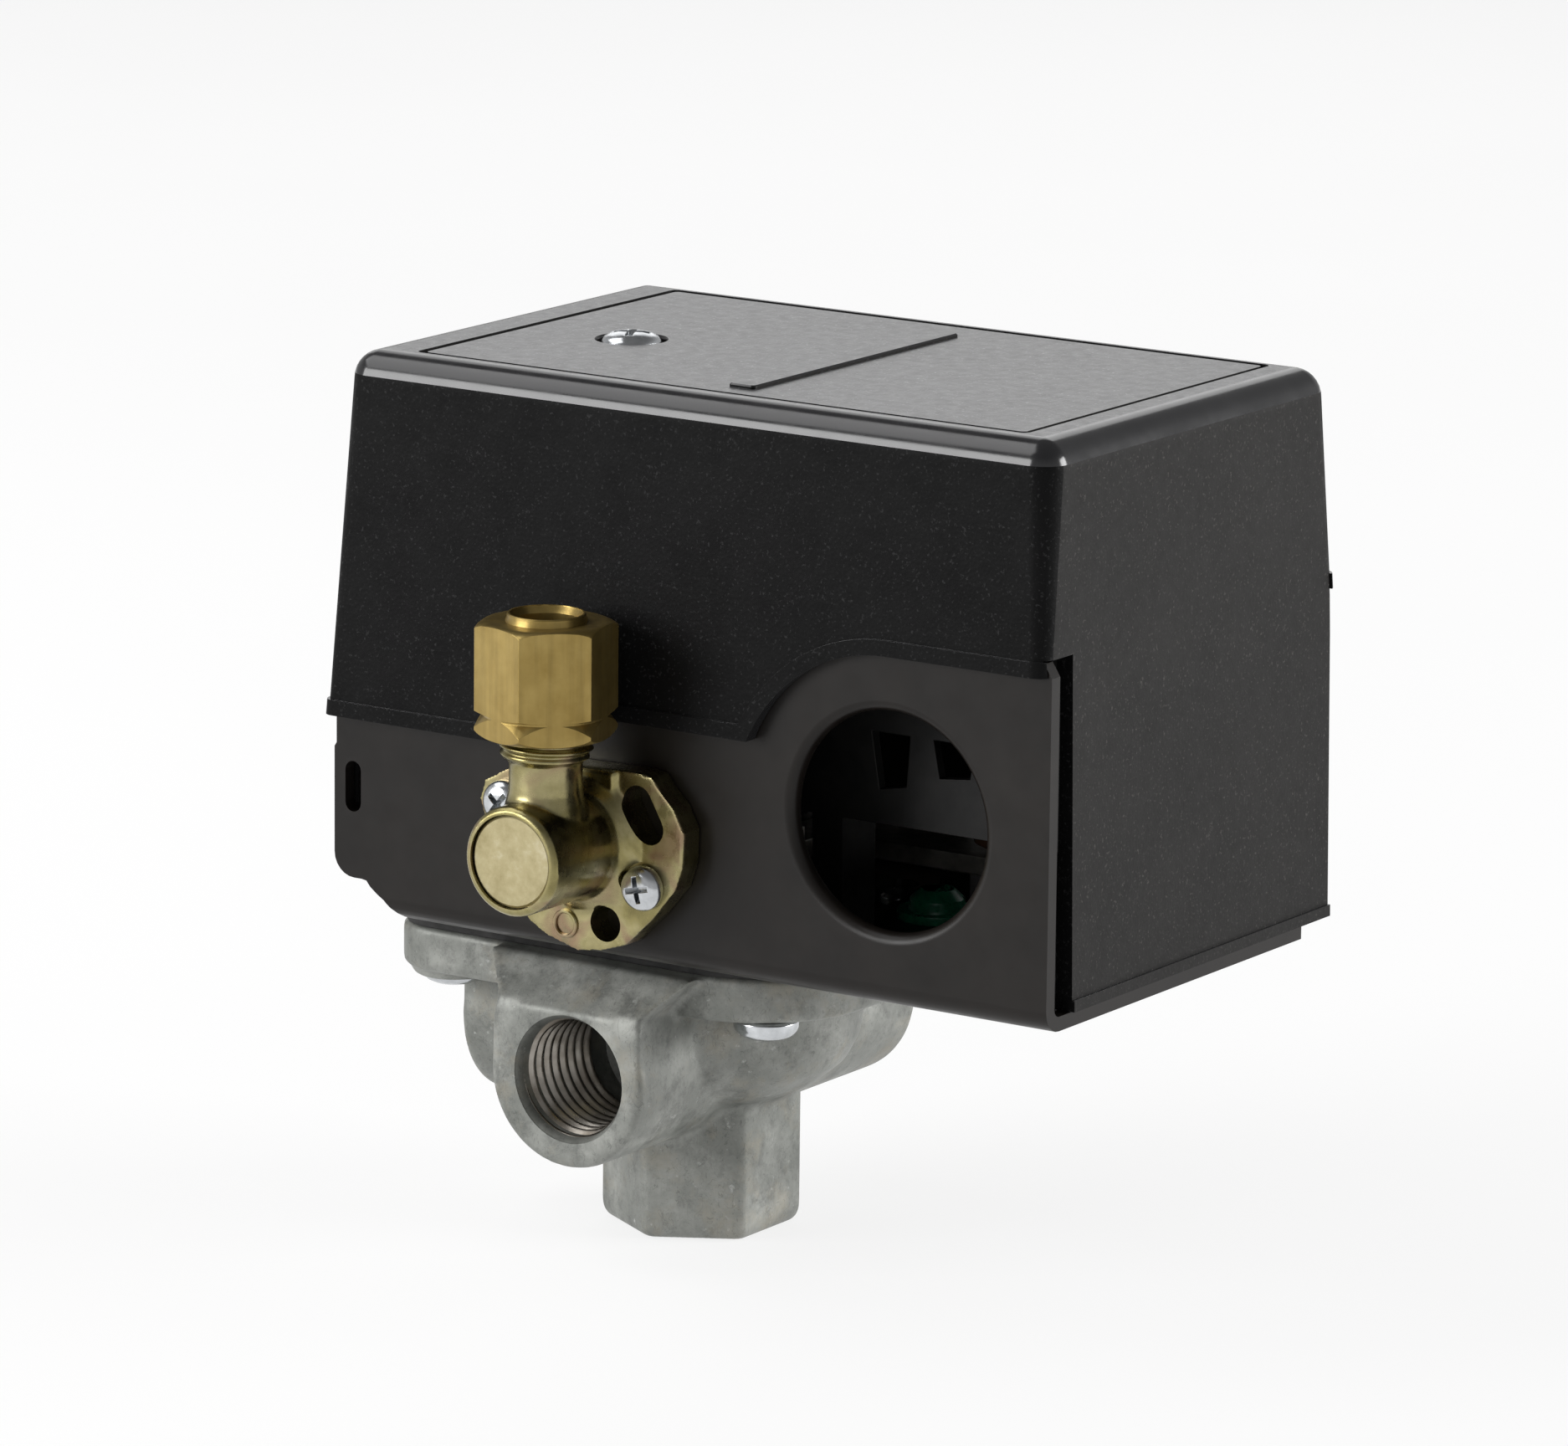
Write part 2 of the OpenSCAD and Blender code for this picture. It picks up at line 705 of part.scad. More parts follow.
// Strip folded to two ears, with a foot to one side
module trip_bracket() {
    ear = 1.2;
    outer = 3.2;
    color("#8f8c84") difference() {
        union() {
            block_of(valve_x - outer, valve_x + 8, trip_y - 3.4, trip_y + 3.4, floor_z, floor_z + ear);
            for (x = [valve_x - outer, valve_x + outer - ear]) {
                block_of(x, x + ear, trip_y - 3, trip_y + 3, floor_z, trip_z);
                rod_x(trip_y, trip_z, x, x + ear, 3);
            }
        }
        rod_x(trip_y, trip_z, valve_x - 9, valve_x + 9, 1.01);
        at_trip_feet() rod_z(0, 0, floor_z - 1, floor_z + 3, 1.05);
    }
}

module trip_rivets() {
    color("#b5b3ac") at_trip_feet() {
        rod_z(0, 0, base_z, floor_z + 1.2, 1);
        rod_z(0, 0, floor_z + 1.2, floor_z + 1.9, 1.6, 1.2);
    }
}

module trip_pin() {
    color("#d0d3d4") rod_x(trip_y, trip_z, valve_x - 3.9, valve_x + 3.9, 1);
}

// Bell crank: one nose over the lever's tab, the other behind the valve's plunger
module trip_arm() {
    nose = 1.4;
    hub = 2.6;
    leg_z = lever_top + 0.08 + nose;
    reach_y = trip_y + trip_reach;
    color("#b8a15a") difference() {
        along_x(valve_x - 1.25, valve_x + 1.25) polygon(concat(
            arc(trip_y, trip_z, hub, 175, 350, 10),
            [[trip_y + 4.5, leg_z - 0.6]],
            arc(reach_y, leg_z, nose, -135, 90, 9),
            arc(push_y, valve_z, nose, 70, 190, 8)));
        rod_x(trip_y, trip_z, valve_x - 9, valve_x + 9, 1 + gap);
    }
}

// ---- Unloader valve ----

// Mounting plate of the valve: two screw ears, a lug below and a slot at the upper right
module valve_outline() {
    span(-2, 9.5, 40, 52);
    for (p = [[valve_screws[0], 5.2], [valve_screws[1], 3.4], [[8.2, 40.6], 4.2], [[12.6, 50.4], 5.2],
        [[0.2, 38.9], 1.2]]) translate(p[0]) circle(p[1]);
    polygon([[0.2, 37.7], [8.2, 36.4], [12.4, 40.6], [18.7, 44.5], [18.3, 50.5], [12.6, 55.4], [3.5, 55.2],
        [-4.8, 53.5], [-6.9, 49.6], [-5.2, 47.2], [-1.2, 44.5], [-1.5, 41], [-0.8, 39.4]]);
}

module unloader_body() {
    barrel_r = barrel_d / 2;
    color("#b3a468") difference() {
        union() {
            along_y(plate_y, -side_y) valve_outline();
            rod_y(valve_x, valve_z, barrel_y, plate_y + 1, barrel_r);
            rod_y(valve_x, valve_z, plate_y - 1.6, plate_y, barrel_r, barrel_r + 1.6);
            rod_z(valve_x, branch_y, valve_z, neck_z - 3.4, 4.4, 3.75);
            rod_z(valve_x, branch_y, neck_z - 3.5, neck_z, 3.7);
            rod_z(valve_x, branch_y, neck_z, branch_z, thread_r);
        }
        rod_y(valve_x, valve_z, barrel_y - 1, barrel_y + 1.6, 4.7);
        rod_y(valve_x, valve_z, barrel_y + 1, -30, 2.9);
        rod_y(valve_x, valve_z, -31, -20, 1.55);
        rod_z(valve_x, branch_y, valve_z, branch_z, 1.6);
        rod_z(valve_x, branch_y, neck_z + 0.5, branch_z + 1, tube_r);
        for (p = valve_screws) {
            rod_y(p[0], p[1], plate_y - 4, 0, 1.65);
            rod_y(p[0], p[1], plate_y - 3, plate_y, 2.6);
        }
        rod_y(8.9, 39.2, plate_y - 1, 0, 1.9);
        along_y(plate_y - 1, 0) translate([13.6, 51.6]) rotate(-16) {
            span(-1.7, 1.7, -1.6, 1.6);
            for (s = [-1, 1]) translate([0, s * 1.6]) circle(1.7);
        }
        rod_y(3.9, 38.9, plate_y - 1, plate_y + 0.3, 1.55);
    }
    color("#b3a468") rod_y(3.9, 38.9, plate_y - 0.05, plate_y + 0.35, 1.3);
}

module unloader_screws() {
    color("#d8dbdc") for (p = valve_screws) translate([p[0], plate_y, p[1]]) rotate([90, 0, 0])
        pan_screw(2.45, 1.9, 1.55, 6.2);
}

module valve_cap() {
    color("#c9bd6e") rod_y(valve_x, valve_z, barrel_y + 0.3, barrel_y + 1.6, 4.65);
}

// Plunger: a head against the seat and a stem through the base to the trip arm
module valve_plunger() {
    color("#c3c6c8") union() {
        rod_y(valve_x, valve_z, seat_y, push_y - 1.4 - gap, 1.5);
        rod_y(valve_x, valve_z, seat_y - 1.5, seat_y, 2.4);
    }
}

module valve_seal() {
    color("#1b1b1b") difference() {
        rod_y(valve_x, valve_z, seat_y, seat_y + 1.15, 2.5);
        rod_y(valve_x, valve_z, seat_y - 1, seat_y + 2, 1.52);
    }
}

// Spring behind the plunger's head, free of the cap by the plunger's travel
module valve_spring() {
    free = 1.2;
    color("#8a8f94") translate([valve_x, seat_y - 1.5, valve_z]) rotate([90, 0, 0])
        coil(1.7, 0.6, seat_y - 3.1 - free - barrel_y, 6, 6, 12);
}

module ferrule() {
    color("#cfa64e") difference() {
        rod_z(valve_x, branch_y, branch_z + gap, branch_z + 4.4, 4.4, 3.9);
        rod_z(valve_x, branch_y, branch_z - 1, branch_z + 6, tube_r + 0.02);
    }
}

module compression_nut() {
    color("#c79f3f") difference() {
        union() {
            intersection() {
                translate([valve_x, branch_y, nut_z0]) rotate(-16.6)
                    cylinder(d = nut_af / cos(30), h = nut_z1 - nut_z0, $fn = 6);
                rod_z(valve_x, branch_y, nut_z0 - 8, nut_z1, 14, nut_af / 2 - 0.3);
                rod_z(valve_x, branch_y, nut_z0, nut_z1 + 5, nut_af / 2 + 0.35, 14);
            }
            rod_z(valve_x, branch_y, nut_z1 - 1, collar_z, 3.95);
        }
        rod_z(valve_x, branch_y, nut_z0 - 1, branch_z + 5, thread_r + gap);
        rod_z(valve_x, branch_y, branch_z, collar_z + 1, tube_r);
    }
}

// ---- Cover ----

// Outer shape of the cover grown by g, down to the floor
module cover_shell(g = 0, r = edge_r) {
    top = cover_top + g;
    intersection() {
        along_x(base_x - 60, base_x + 60) polygon(concat(
            [[half_y(0) + g, 0]],
            arc(half_y(top - r) + g - r, top - r, r, 0, 90),
            arc(-(half_y(top - r) + g - r), top - r, r, 90, 180),
            [[-half_y(0) - g, 0]]));
        along_y(-50, 50) translate([base_x, 0]) polygon(concat(
            [[half_x(0) + g, 0]],
            arc(half_x(top - r) + g - r, top - r, r, 0, 90),
            arc(-(half_x(top - r) + g - r), top - r, r, 90, 180),
            [[-half_x(0) - g, 0]]));
    }
}

// Space inside the cover: drafted walls above, straight ones round the steel below
module cover_inside() {
    intersection() {
        cover_shell(-wall, edge_r - 1);
        block_of(base_x - 60, base_x + 60, -40, 40, 0, cover_top);
    }
    block_of(base_x - half_x(floor_z) + wall, base_x + half_x(floor_z) - wall, -inner_y, inner_y, 0, 70);
    intersection() {
        block_of(base_x - 60, base_x + 60, -side_y - 0.15, side_y + 0.15, 0, cover_top);
        block_of(base_x - cover_half_x + wall - 1, base_x + cover_half_x - wall + 1, -40, 40, 0, cover_top);
        along_y(-40, 40) skirt_window(lap + 0.3);
        union() {
            block_of(base_x0 - 0.1, base_x1 + 0.1, -40, end_front, 0, cover_top);
            block_of(base_x0 + 2.2, base_x1 - 2.2, end_front - 1, 40, 0, cover_top);
        }
    }
}

module cover_rim() {
    intersection() {
        cover_shell(rim_out);
        union() for (y = [-40, end_back]) along_y(y, y + 17.05) difference() {
            skirt_window(rim_h);
            skirt_window();
        }
    }
    intersection() {
        cover_shell(rim_out);
        block_of(base_x - 60, base_x + 60, end_front, end_back, wall_bottom, wall_bottom + 1.2);
    }
}

module cover() {
    color("#26262a") difference() {
        union() {
            difference() {
                union() {
                    cover_shell();
                    cover_rim();
                }
                cover_inside();
                block_of(base_x - 60, base_x + 60, -40, 40, -1, wall_bottom);
                along_y(-40, end_front) skirt_window();
                along_y(end_back, 40) skirt_window();
            }
            rod_z(screw_x, screw_y, 90.4, cover_top - 1, 5.6);
            translate([panel_cx + 0.9, -1, cover_top - 0.5])
                linear_extrude(bar[2] + 0.5) square([bar[0], bar[1]], center = true);
        }
        rod_z(screw_x, screw_y, 90, 95, 2.3);
        rod_z(screw_x, screw_y, cover_head_z, 96, 3.6);
        difference() {
            translate([panel_cx, 0, cover_top - groove])
                linear_extrude(2) square([2 * panel_x, 2 * panel_y], center = true);
            translate([panel_cx, 0, cover_top - 2])
                linear_extrude(4) square([2 * (panel_x - groove), 2 * (panel_y - groove)], center = true);
        }
    }
}

module cover_screw() {
    color("#dfe2e3") translate([screw_x, screw_y, cover_head_z]) pan_screw(3.25, 2.5, 2, 11);
}

base_frame();
port_manifold();
manifold_screws();
diaphragm();
diaphragm_plate();
push_pin();
lever_bracket();
lever_rivets();
lever_pin();
main_lever();
lower_spring_seat();
range_spring();
upper_spring_seat();
range_screw();
spring_bracket();
bracket_screws();
cover_post();
contact_block();
block_screws();
terminal_strips();
fixed_tips();
terminal_screws();
terminal_clamps();
contact_carrier();
contact_bridges();
moving_tips();
contact_springs();
carrier_cap();
ground_screw();
trip_bracket();
trip_rivets();
trip_pin();
trip_arm();
unloader_body();
unloader_screws();
valve_cap();
valve_plunger();
valve_seal();
valve_spring();
ferrule();
compression_nut();
cover();
cover_screw();
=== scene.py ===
import math
import bpy
import bmesh
from mathutils import Matrix, Vector


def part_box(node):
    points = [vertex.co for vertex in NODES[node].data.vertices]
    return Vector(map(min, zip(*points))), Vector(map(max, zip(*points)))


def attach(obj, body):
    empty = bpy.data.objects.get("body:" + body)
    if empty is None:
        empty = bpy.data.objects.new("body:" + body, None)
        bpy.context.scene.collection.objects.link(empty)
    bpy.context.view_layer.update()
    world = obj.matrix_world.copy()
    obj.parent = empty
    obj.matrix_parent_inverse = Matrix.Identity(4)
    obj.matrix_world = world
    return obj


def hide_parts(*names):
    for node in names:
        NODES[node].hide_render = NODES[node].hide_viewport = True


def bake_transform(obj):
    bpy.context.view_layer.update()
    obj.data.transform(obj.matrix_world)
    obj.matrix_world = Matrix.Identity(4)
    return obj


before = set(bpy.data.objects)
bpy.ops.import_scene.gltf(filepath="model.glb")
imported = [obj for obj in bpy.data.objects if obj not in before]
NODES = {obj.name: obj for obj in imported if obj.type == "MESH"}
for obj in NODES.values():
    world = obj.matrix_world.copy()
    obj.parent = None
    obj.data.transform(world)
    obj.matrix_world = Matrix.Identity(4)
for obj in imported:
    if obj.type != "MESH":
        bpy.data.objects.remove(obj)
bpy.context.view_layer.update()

scene = bpy.context.scene

# Dimensions are in millimetres in the row frame; meshes are made in metres
MM = 0.001
# casting: heights of its flange, then its side ports' axis, reach, boss radius and bore radius
FLANGE_Z, FLANGE_TOP, DISH_Z = 27.0, 31.8, 32.8
PORT_Z, PORT_REACH, BACK_REACH, BOSS_R, BORE_R = 20.3, 24.5, 26.8, 9.55, 6.3
FLANGE_HOLES = [(-3.4 + a * 19.8, b * 12.4) for a in (-1, 1) for b in (-1, 1)]
# each side port: turn about z from the front, reach, where its web meets the flange, sideways lean
PORTS = {"front": (0, PORT_REACH, 20.2, 0.4), "back": (180, BACK_REACH, 18.3, 0),
         "left": (-90, PORT_REACH, PORT_REACH, 0)}
# pipe thread: the crest and root are radii, and the wall is the sleeve's outer radius
THREAD_LENGTH, THREAD_CREST, THREAD_ROOT, THREAD_PITCH, THREAD_WALL = 11.9, 5.72, 6.42, 1.411, 6.75
# folded base: underside and top of its floor, its ends, middle, outer face of its flanges, sheet thickness
BASE_Z, FLOOR_Z, BASE_X0, BASE_X1, BASE_CX, SIDE_Y, SHEET = 34.7, 36.2, -27.8, 59.6, 15.9, 27.3, 1.5
# wiring holes in its flanges: place, radius, radius of the rolled lip and how far the lip's cut reaches
HOLE_X, HOLE_Z, HOLE_R, LIP, LIP_OUT = 40.6, 53.6, 11.3, 1.15, 12.6
# cover's skirt: its lower edge at the left, the middle and around the wiring hole, and its lap on the base
SKIRT_LEFT, SKIRT_MID, SKIRT_ARC, LAP = 56.0, 60.1, 17.15, 1.4
COVER_TOP, COVER_BOTTOM, WALL, EDGE_R = 93.9, 36.3, 2.0, 3.0
# y limits of the cover's end walls below the skirt; the left one reaches LEFT_EDGE above LEFT_FOOT
END_FRONT, END_BACK, LEFT_EDGE, LEFT_FOOT = -22.95, 26.8, -25.45, 42.5
# seam around the top panel (middle and half sizes), and the cover's screw with the seat of its head
PANEL_CX, PANEL_X, PANEL_Y = 16.7, 36.9, 23.2
SCREW_X, SCREW_Y, HEAD_Z = -7.2, -3.6, 92.3
SCREW_SPOT = (SCREW_X, SCREW_Y, 0)
# unloader valve: barrel along y at VALVE_X, VALVE_Z, branch along z at VALVE_X, BRANCH_Y, nut on the branch
VALVE_X, VALVE_Z, BRANCH_Y, BARREL_Y, PLATE_Y = 5.6, 47.6, -36.6, -42.8, -30.4
BARREL_SPOT, BRANCH_SPOT = (VALVE_X, 0, VALVE_Z), (VALVE_X, BRANCH_Y, 0)
VALVE_HOLES = ((13.6, 43.8), (-3.6, 50.3))
NUT_Z0, NUT_Z1, COLLAR_Z, NUT_FLATS = 59.5, 71.0, 72.2, 12.7


# ---------------------------------------------------------------- mesh helpers

def arc(cx, cy, r, a0, a1, n=8):
    """Points on an arc from a0 to a1 degrees, both ends included."""
    return [(cx + r * math.cos(math.radians(a0 + (a1 - a0) * i / n)),
             cy + r * math.sin(math.radians(a0 + (a1 - a0) * i / n))) for i in range(n + 1)]


def circle(r, n):
    return [(r * math.cos(2 * math.pi * i / n), r * math.sin(2 * math.pi * i / n)) for i in range(n)]


def level(outline, z):
    """Flat outline at a height."""
    return [(x, y, z) for x, y in outline]


def make(name, bm, scale=MM):
    """Object from a bmesh drawn in millimetres."""
    bmesh.ops.recalc_face_normals(bm, faces=bm.faces)
    mesh = bpy.data.meshes.new(name)
    bm.to_mesh(mesh)
    bm.free()
    mesh.transform(Matrix.Scale(scale, 4))
    obj = bpy.data.objects.new(name, mesh)
    scene.collection.objects.link(obj)
    return obj


def add_loft(bm, rings, closed=False):
    """Skin over rings of the same length; the ends are capped unless the loft closes on itself."""
    made = [[bm.verts.new(p) for p in ring] for ring in rings]
    n = len(made[0])
    pairs = list(zip(made, made[1:])) + ([(made[-1], made[0])] if closed else [])
    for a, b in pairs:
        for i in range(n):
            bm.faces.new((a[i], a[(i + 1) % n], b[(i + 1) % n], b[i]))
    if not closed:
        bm.faces.new(made[0][::-1])
        bm.faces.new(made[-1])
    return bm


AXES = {"x": lambda u, v, w: (w, u, v), "y": lambda u, v, w: (u, w, v), "z": lambda u, v, w: (u, v, w)}
ON_AXIS = 1e-3


def add_prism(bm, outline, lo, hi, axis="z"):
    """Flat outline made solid: (x, y) along z, (x, z) along y or (y, z) along x."""
    return add_loft(bm, [[AXES[axis](u, v, w) for u, v in outline] for w in (lo, hi)])


def add_turned(bm, profile, spot=(0, 0, 0), axis="z", segments=64):
    """Solid of revolution from (radius, distance along the axis) pairs."""
    rings = []
    for r, h in profile:
        points = [AXES[axis](u, v, h) for u, v in circle(max(r, ON_AXIS), segments)]
        rings.append([(x + spot[0], y + spot[1], z + spot[2]) for x, y, z in points])
    return add_loft(bm, rings)


def loft(rings, closed=False):
    return add_loft(bmesh.new(), rings, closed)


def prism(outline, lo, hi, axis="z"):
    return add_prism(bmesh.new(), outline, lo, hi, axis)


def turned(profile, spot=(0, 0, 0), axis="z", segments=64):
    return add_turned(bmesh.new(), profile, spot, axis, segments)


def block(x0, x1, y0, y1, z0, z1):
    return prism([(x0, y0), (x1, y0), (x1, y1), (x0, y1)], z0, z1)


def spin(bm, verts, degrees):
    """Turns vertices about the z axis."""
    bmesh.ops.rotate(bm, verts=verts, cent=(0, 0, 0), matrix=Matrix.Rotation(math.radians(degrees), 3, "Z"))


def add_helix(bm, length, pitch, around, per_turn, radius, wall, spot):
    """Closed sleeve along z: a thread at radius(tooth, height) on one side, a plain wall on the other."""
    steps = int(length / pitch * per_turn)
    x0, y0, z0 = spot
    wavy = []
    for k in range(steps + 1):
        h = length * k / steps
        ring = []
        for i in range(around):
            tooth = abs(2 * ((h / pitch + i / around) % 1.0) - 1)
            r = radius(min(max((tooth - 0.08) / 0.84, 0), 1), h)
            a = 2 * math.pi * i / around
            ring.append((x0 + r * math.cos(a), y0 + r * math.sin(a), z0 + h))
        wavy.append(ring)
    flat = [[(x0 + u, y0 + v, z0 + h) for u, v in circle(wall, around)] for h in (length, 0)]
    return add_loft(bm, wavy + flat, closed=True)


def baked(obj):
    """Replaces the object's mesh by the result of its modifiers."""
    bpy.context.view_layer.update()
    result = bpy.data.meshes.new_from_object(obj.evaluated_get(bpy.context.evaluated_depsgraph_get()))
    obj.modifiers.clear()
    obj.data = result
    return obj


def carve(obj, cutter, operation="DIFFERENCE"):
    """Boolean with another object, or with a cutter drawn in a bmesh."""
    if isinstance(cutter, bmesh.types.BMesh):
        cutter = make("cutter", cutter)
    m = obj.modifiers.new("carve", "BOOLEAN")
    m.operation, m.object, m.solver = operation, cutter, "MANIFOLD"
    baked(obj)
    bpy.data.objects.remove(cutter)
    return obj


def melt(obj, voxel, rounds):
    """Casting look: overlapping shells become one skin with soft fillets."""
    m = obj.modifiers.new("remesh", "REMESH")
    m.mode, m.voxel_size, m.use_smooth_shade = "VOXEL", voxel * MM, True
    m = obj.modifiers.new("smooth", "SMOOTH")
    m.iterations, m.factor = rounds, 0.5
    return baked(obj)


def soften(obj, width, angle, segments=2):
    """Small true radii on the edges."""
    m = obj.modifiers.new("edges", "BEVEL")
    m.width, m.segments, m.limit_method = width * MM, segments, "ANGLE"
    m.angle_limit = math.radians(angle)
    return obj


def shade(obj, angle):
    """Smooth shading, broken at edges sharper than the angle."""
    mesh = obj.data
    mesh.polygons.foreach_set("use_smooth", [True] * len(mesh.polygons))
    bm = bmesh.new()
    bm.from_mesh(mesh)
    limit = math.radians(angle)
    for e in bm.edges:
        e.smooth = len(e.link_faces) == 2 and e.calc_face_angle(0) < limit
    bm.to_mesh(mesh)
    bm.free()
    obj.modifiers.new("normals", "WEIGHTED_NORMAL").keep_sharp = True
    return obj


def place(obj, body, slot, materials, *nodes):
    """Gives the piece its materials, its body (none if it is blended) and the CAD nodes it stands for."""
    obj.data.materials.clear()
    for m in materials:
        obj.data.materials.append(m)
    if body:
        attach(obj, body)
    if nodes:
        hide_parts(*nodes)
    return obj


# ---------------------------------------------------------------- materials

class Look:
    """Node material with helpers for noise-driven colour, roughness and bump."""

    def __init__(self, name, metallic=0.0, specular=0.5):
        self.material = bpy.data.materials.new(name)
        self.material.use_nodes = True
        self.nodes, self.links = self.material.node_tree.nodes, self.material.node_tree.links
        self.bsdf = self.nodes["Principled BSDF"]
        self.bsdf.inputs["Metallic"].default_value = metallic
        self.bsdf.inputs["Specular IOR Level"].default_value = specular
        self.where = self.nodes.new("ShaderNodeTexCoord").outputs["Object"]
        self.normal = None

    def feed(self, socket, value):
        """Links a node's output to the socket, or sets a plain colour or number."""
        if hasattr(value, "is_linked"):
            self.links.new(value, socket)
        else:
            socket.default_value = (*value, 1) if isinstance(value, tuple) else value

    def stretched(self, x, y, z):
        m = self.nodes.new("ShaderNodeMapping")
        m.inputs["Scale"].default_value = (x, y, z)
        self.links.new(self.where, m.inputs["Vector"])
        return m.outputs["Vector"]

    def noise(self, size_mm, detail, rough=0.55, vector=None, distortion=0.0):
        n = self.nodes.new("ShaderNodeTexNoise")
        n.inputs["Scale"].default_value = 1 / (size_mm * MM)
        n.inputs["Detail"].default_value = detail
        n.inputs["Roughness"].default_value = rough
        n.inputs["Distortion"].default_value = distortion
        self.links.new(vector or self.where, n.inputs["Vector"])
        return n.outputs["Fac"]

    def cells(self, size_mm):
        n = self.nodes.new("ShaderNodeTexVoronoi")
        n.inputs["Scale"].default_value = 1 / (size_mm * MM)
        self.links.new(self.where, n.inputs["Vector"])
        return n.outputs["Distance"]

    def ramp(self, value, *stops):
        r = self.nodes.new("ShaderNodeValToRGB")
        elements = r.color_ramp.elements
        while len(elements) < len(stops):
            elements.new(0.5)
        for e, (spot, colour) in zip(elements, stops):
            e.position = spot
            e.color = (*colour, 1) if isinstance(colour, tuple) else (colour, colour, colour, 1)
        self.links.new(value, r.inputs["Fac"])
        return r.outputs["Color"]

    def cloud(self, size_mm, detail, *stops):
        """Noise run through a ramp."""
        return self.ramp(self.noise(size_mm, detail), *stops)

    def mix(self, factor, a, b, blend="MIX"):
        m = self.nodes.new("ShaderNodeMix")
        m.data_type, m.blend_type = "RGBA", blend
        for i, value in ((0, factor), (6, a), (7, b)):
            self.feed(m.inputs[i], value)
        return m.outputs[2]

    def bump(self, height, depth_mm, strength):
        b = self.nodes.new("ShaderNodeBump")
        b.inputs["Strength"].default_value = strength
        b.inputs["Distance"].default_value = depth_mm * MM
        self.links.new(height, b.inputs["Height"])
        if self.normal:
            self.links.new(self.normal, b.inputs["Normal"])
        self.normal = b.outputs["Normal"]
        return self

    def done(self, colour, rough):
        self.feed(self.bsdf.inputs["Base Color"], colour)
        self.feed(self.bsdf.inputs["Roughness"], rough)
        if self.normal:
            self.links.new(self.normal, self.bsdf.inputs["Normal"])
        return self.material


def grained_plastic(name, low, high, specular, rough):
    k = Look(name, specular=specular)
    colour = k.cloud(9, 3, (0.3, low), (0.75, high))
    speck = k.ramp(k.noise(0.35, 2, 0.6), (0.6, 0.0), (0.72, 0.7))
    colour = k.mix(speck, colour, tuple(v * 5 for v in high))
    k.bump(k.cells(0.42), 0.035, 0.5).bump(k.noise(0.9, 2), 0.02, 0.35)
    return k.done(colour, k.cloud(1.4, 3, (0.3, rough[0]), (0.75, rough[1])))


def smooth_plastic():
    k = Look("cover_edge")
    colour = k.cloud(6, 3, (0.3, (0.010, 0.010, 0.011)), (0.8, (0.015, 0.015, 0.016)))
    k.bump(k.noise(2.2, 2), 0.012, 0.3)
    return k.done(colour, k.cloud(3, 4, (0.35, 0.15), (0.7, 0.22)))


def black_paint():
    k = Look("base_paint", specular=0.22)
    streak = k.noise(1.0, 5, vector=k.stretched(0.05, 0.05, 1.2))
    colour = k.cloud(8, 4, (0.3, (0.0055, 0.0044, 0.0037)), (0.75, (0.0105, 0.0084, 0.007)))
    k.bump(k.noise(0.7, 3), 0.008, 0.35).bump(streak, 0.004, 0.3)
    return k.done(colour, k.cloud(2.5, 5, (0.3, 0.3), (0.75, 0.42)))


def cast_zinc():
    """Mottled grey with dark stains, tan patches, bright nicks and fine curved scratches."""
    k = Look("cast_zinc", metallic=0.35, specular=0.45)
    colour = k.ramp(k.noise(8, 7, 0.68), (0.3, (0.125, 0.131, 0.118)), (0.5, (0.195, 0.201, 0.185)),
                    (0.7, (0.31, 0.316, 0.293)))
    stain = k.ramp(k.noise(3.4, 8, 0.8), (0.36, 0.4), (0.5, 1.0))
    colour = k.mix(0.55, colour, stain, "MULTIPLY")
    tan = k.ramp(k.noise(5.5, 5, 0.7), (0.52, 0.0), (0.7, 0.35))
    colour = k.mix(tan, colour, (0.27, 0.235, 0.17))
    nick = k.ramp(k.noise(1.1, 4, 0.6), (0.66, 0.0), (0.78, 0.6))
    colour = k.mix(nick, colour, (0.5, 0.51, 0.49))
    scratch = k.ramp(k.noise(1.0, 2, 0.5, vector=k.stretched(1.0, 0.9, 0.5), distortion=1.2),
                     (0.488, 1.0), (0.5, 0.25), (0.512, 1.0))
    colour = k.mix(0.45, colour, scratch, "MULTIPLY")
    k.bump(k.noise(1.1, 6, 0.7), 0.05, 0.5).bump(k.noise(4, 4), 0.2, 0.4)
    return k.done(colour, k.cloud(2.0, 5, (0.3, 0.42), (0.7, 0.6)))


def cut_thread():
    k = Look("cut_thread", metallic=1.0)
    colour = k.cloud(3, 3, (0.3, (0.17, 0.15, 0.125)), (0.75, (0.40, 0.375, 0.34)))
    k.bump(k.noise(0.5, 3), 0.01, 0.4)
    return k.done(colour, k.cloud(1.2, 3, (0.3, 0.24), (0.7, 0.38)))


def chromate():
    """Yellow passivation over zinc, with its drift of olive, gold and pink."""
    k = Look("chromate", metallic=1.0)
    sheen = k.noise(6.5, 3, 0.5, distortion=0.8)
    colour = k.ramp(sheen, (0.28, (0.17, 0.145, 0.062)), (0.42, (0.265, 0.23, 0.10)),
                    (0.55, (0.34, 0.30, 0.155)), (0.68, (0.27, 0.19, 0.12)), (0.8, (0.18, 0.205, 0.11)))
    mottle = k.ramp(k.noise(0.9, 5, 0.7), (0.3, 0.78), (0.6, 1.0))
    colour = k.mix(0.6, colour, mottle, "MULTIPLY")
    k.bump(k.noise(0.8, 4), 0.02, 0.45)
    return k.done(colour, k.cloud(1.5, 4, (0.3, 0.2), (0.7, 0.36)))


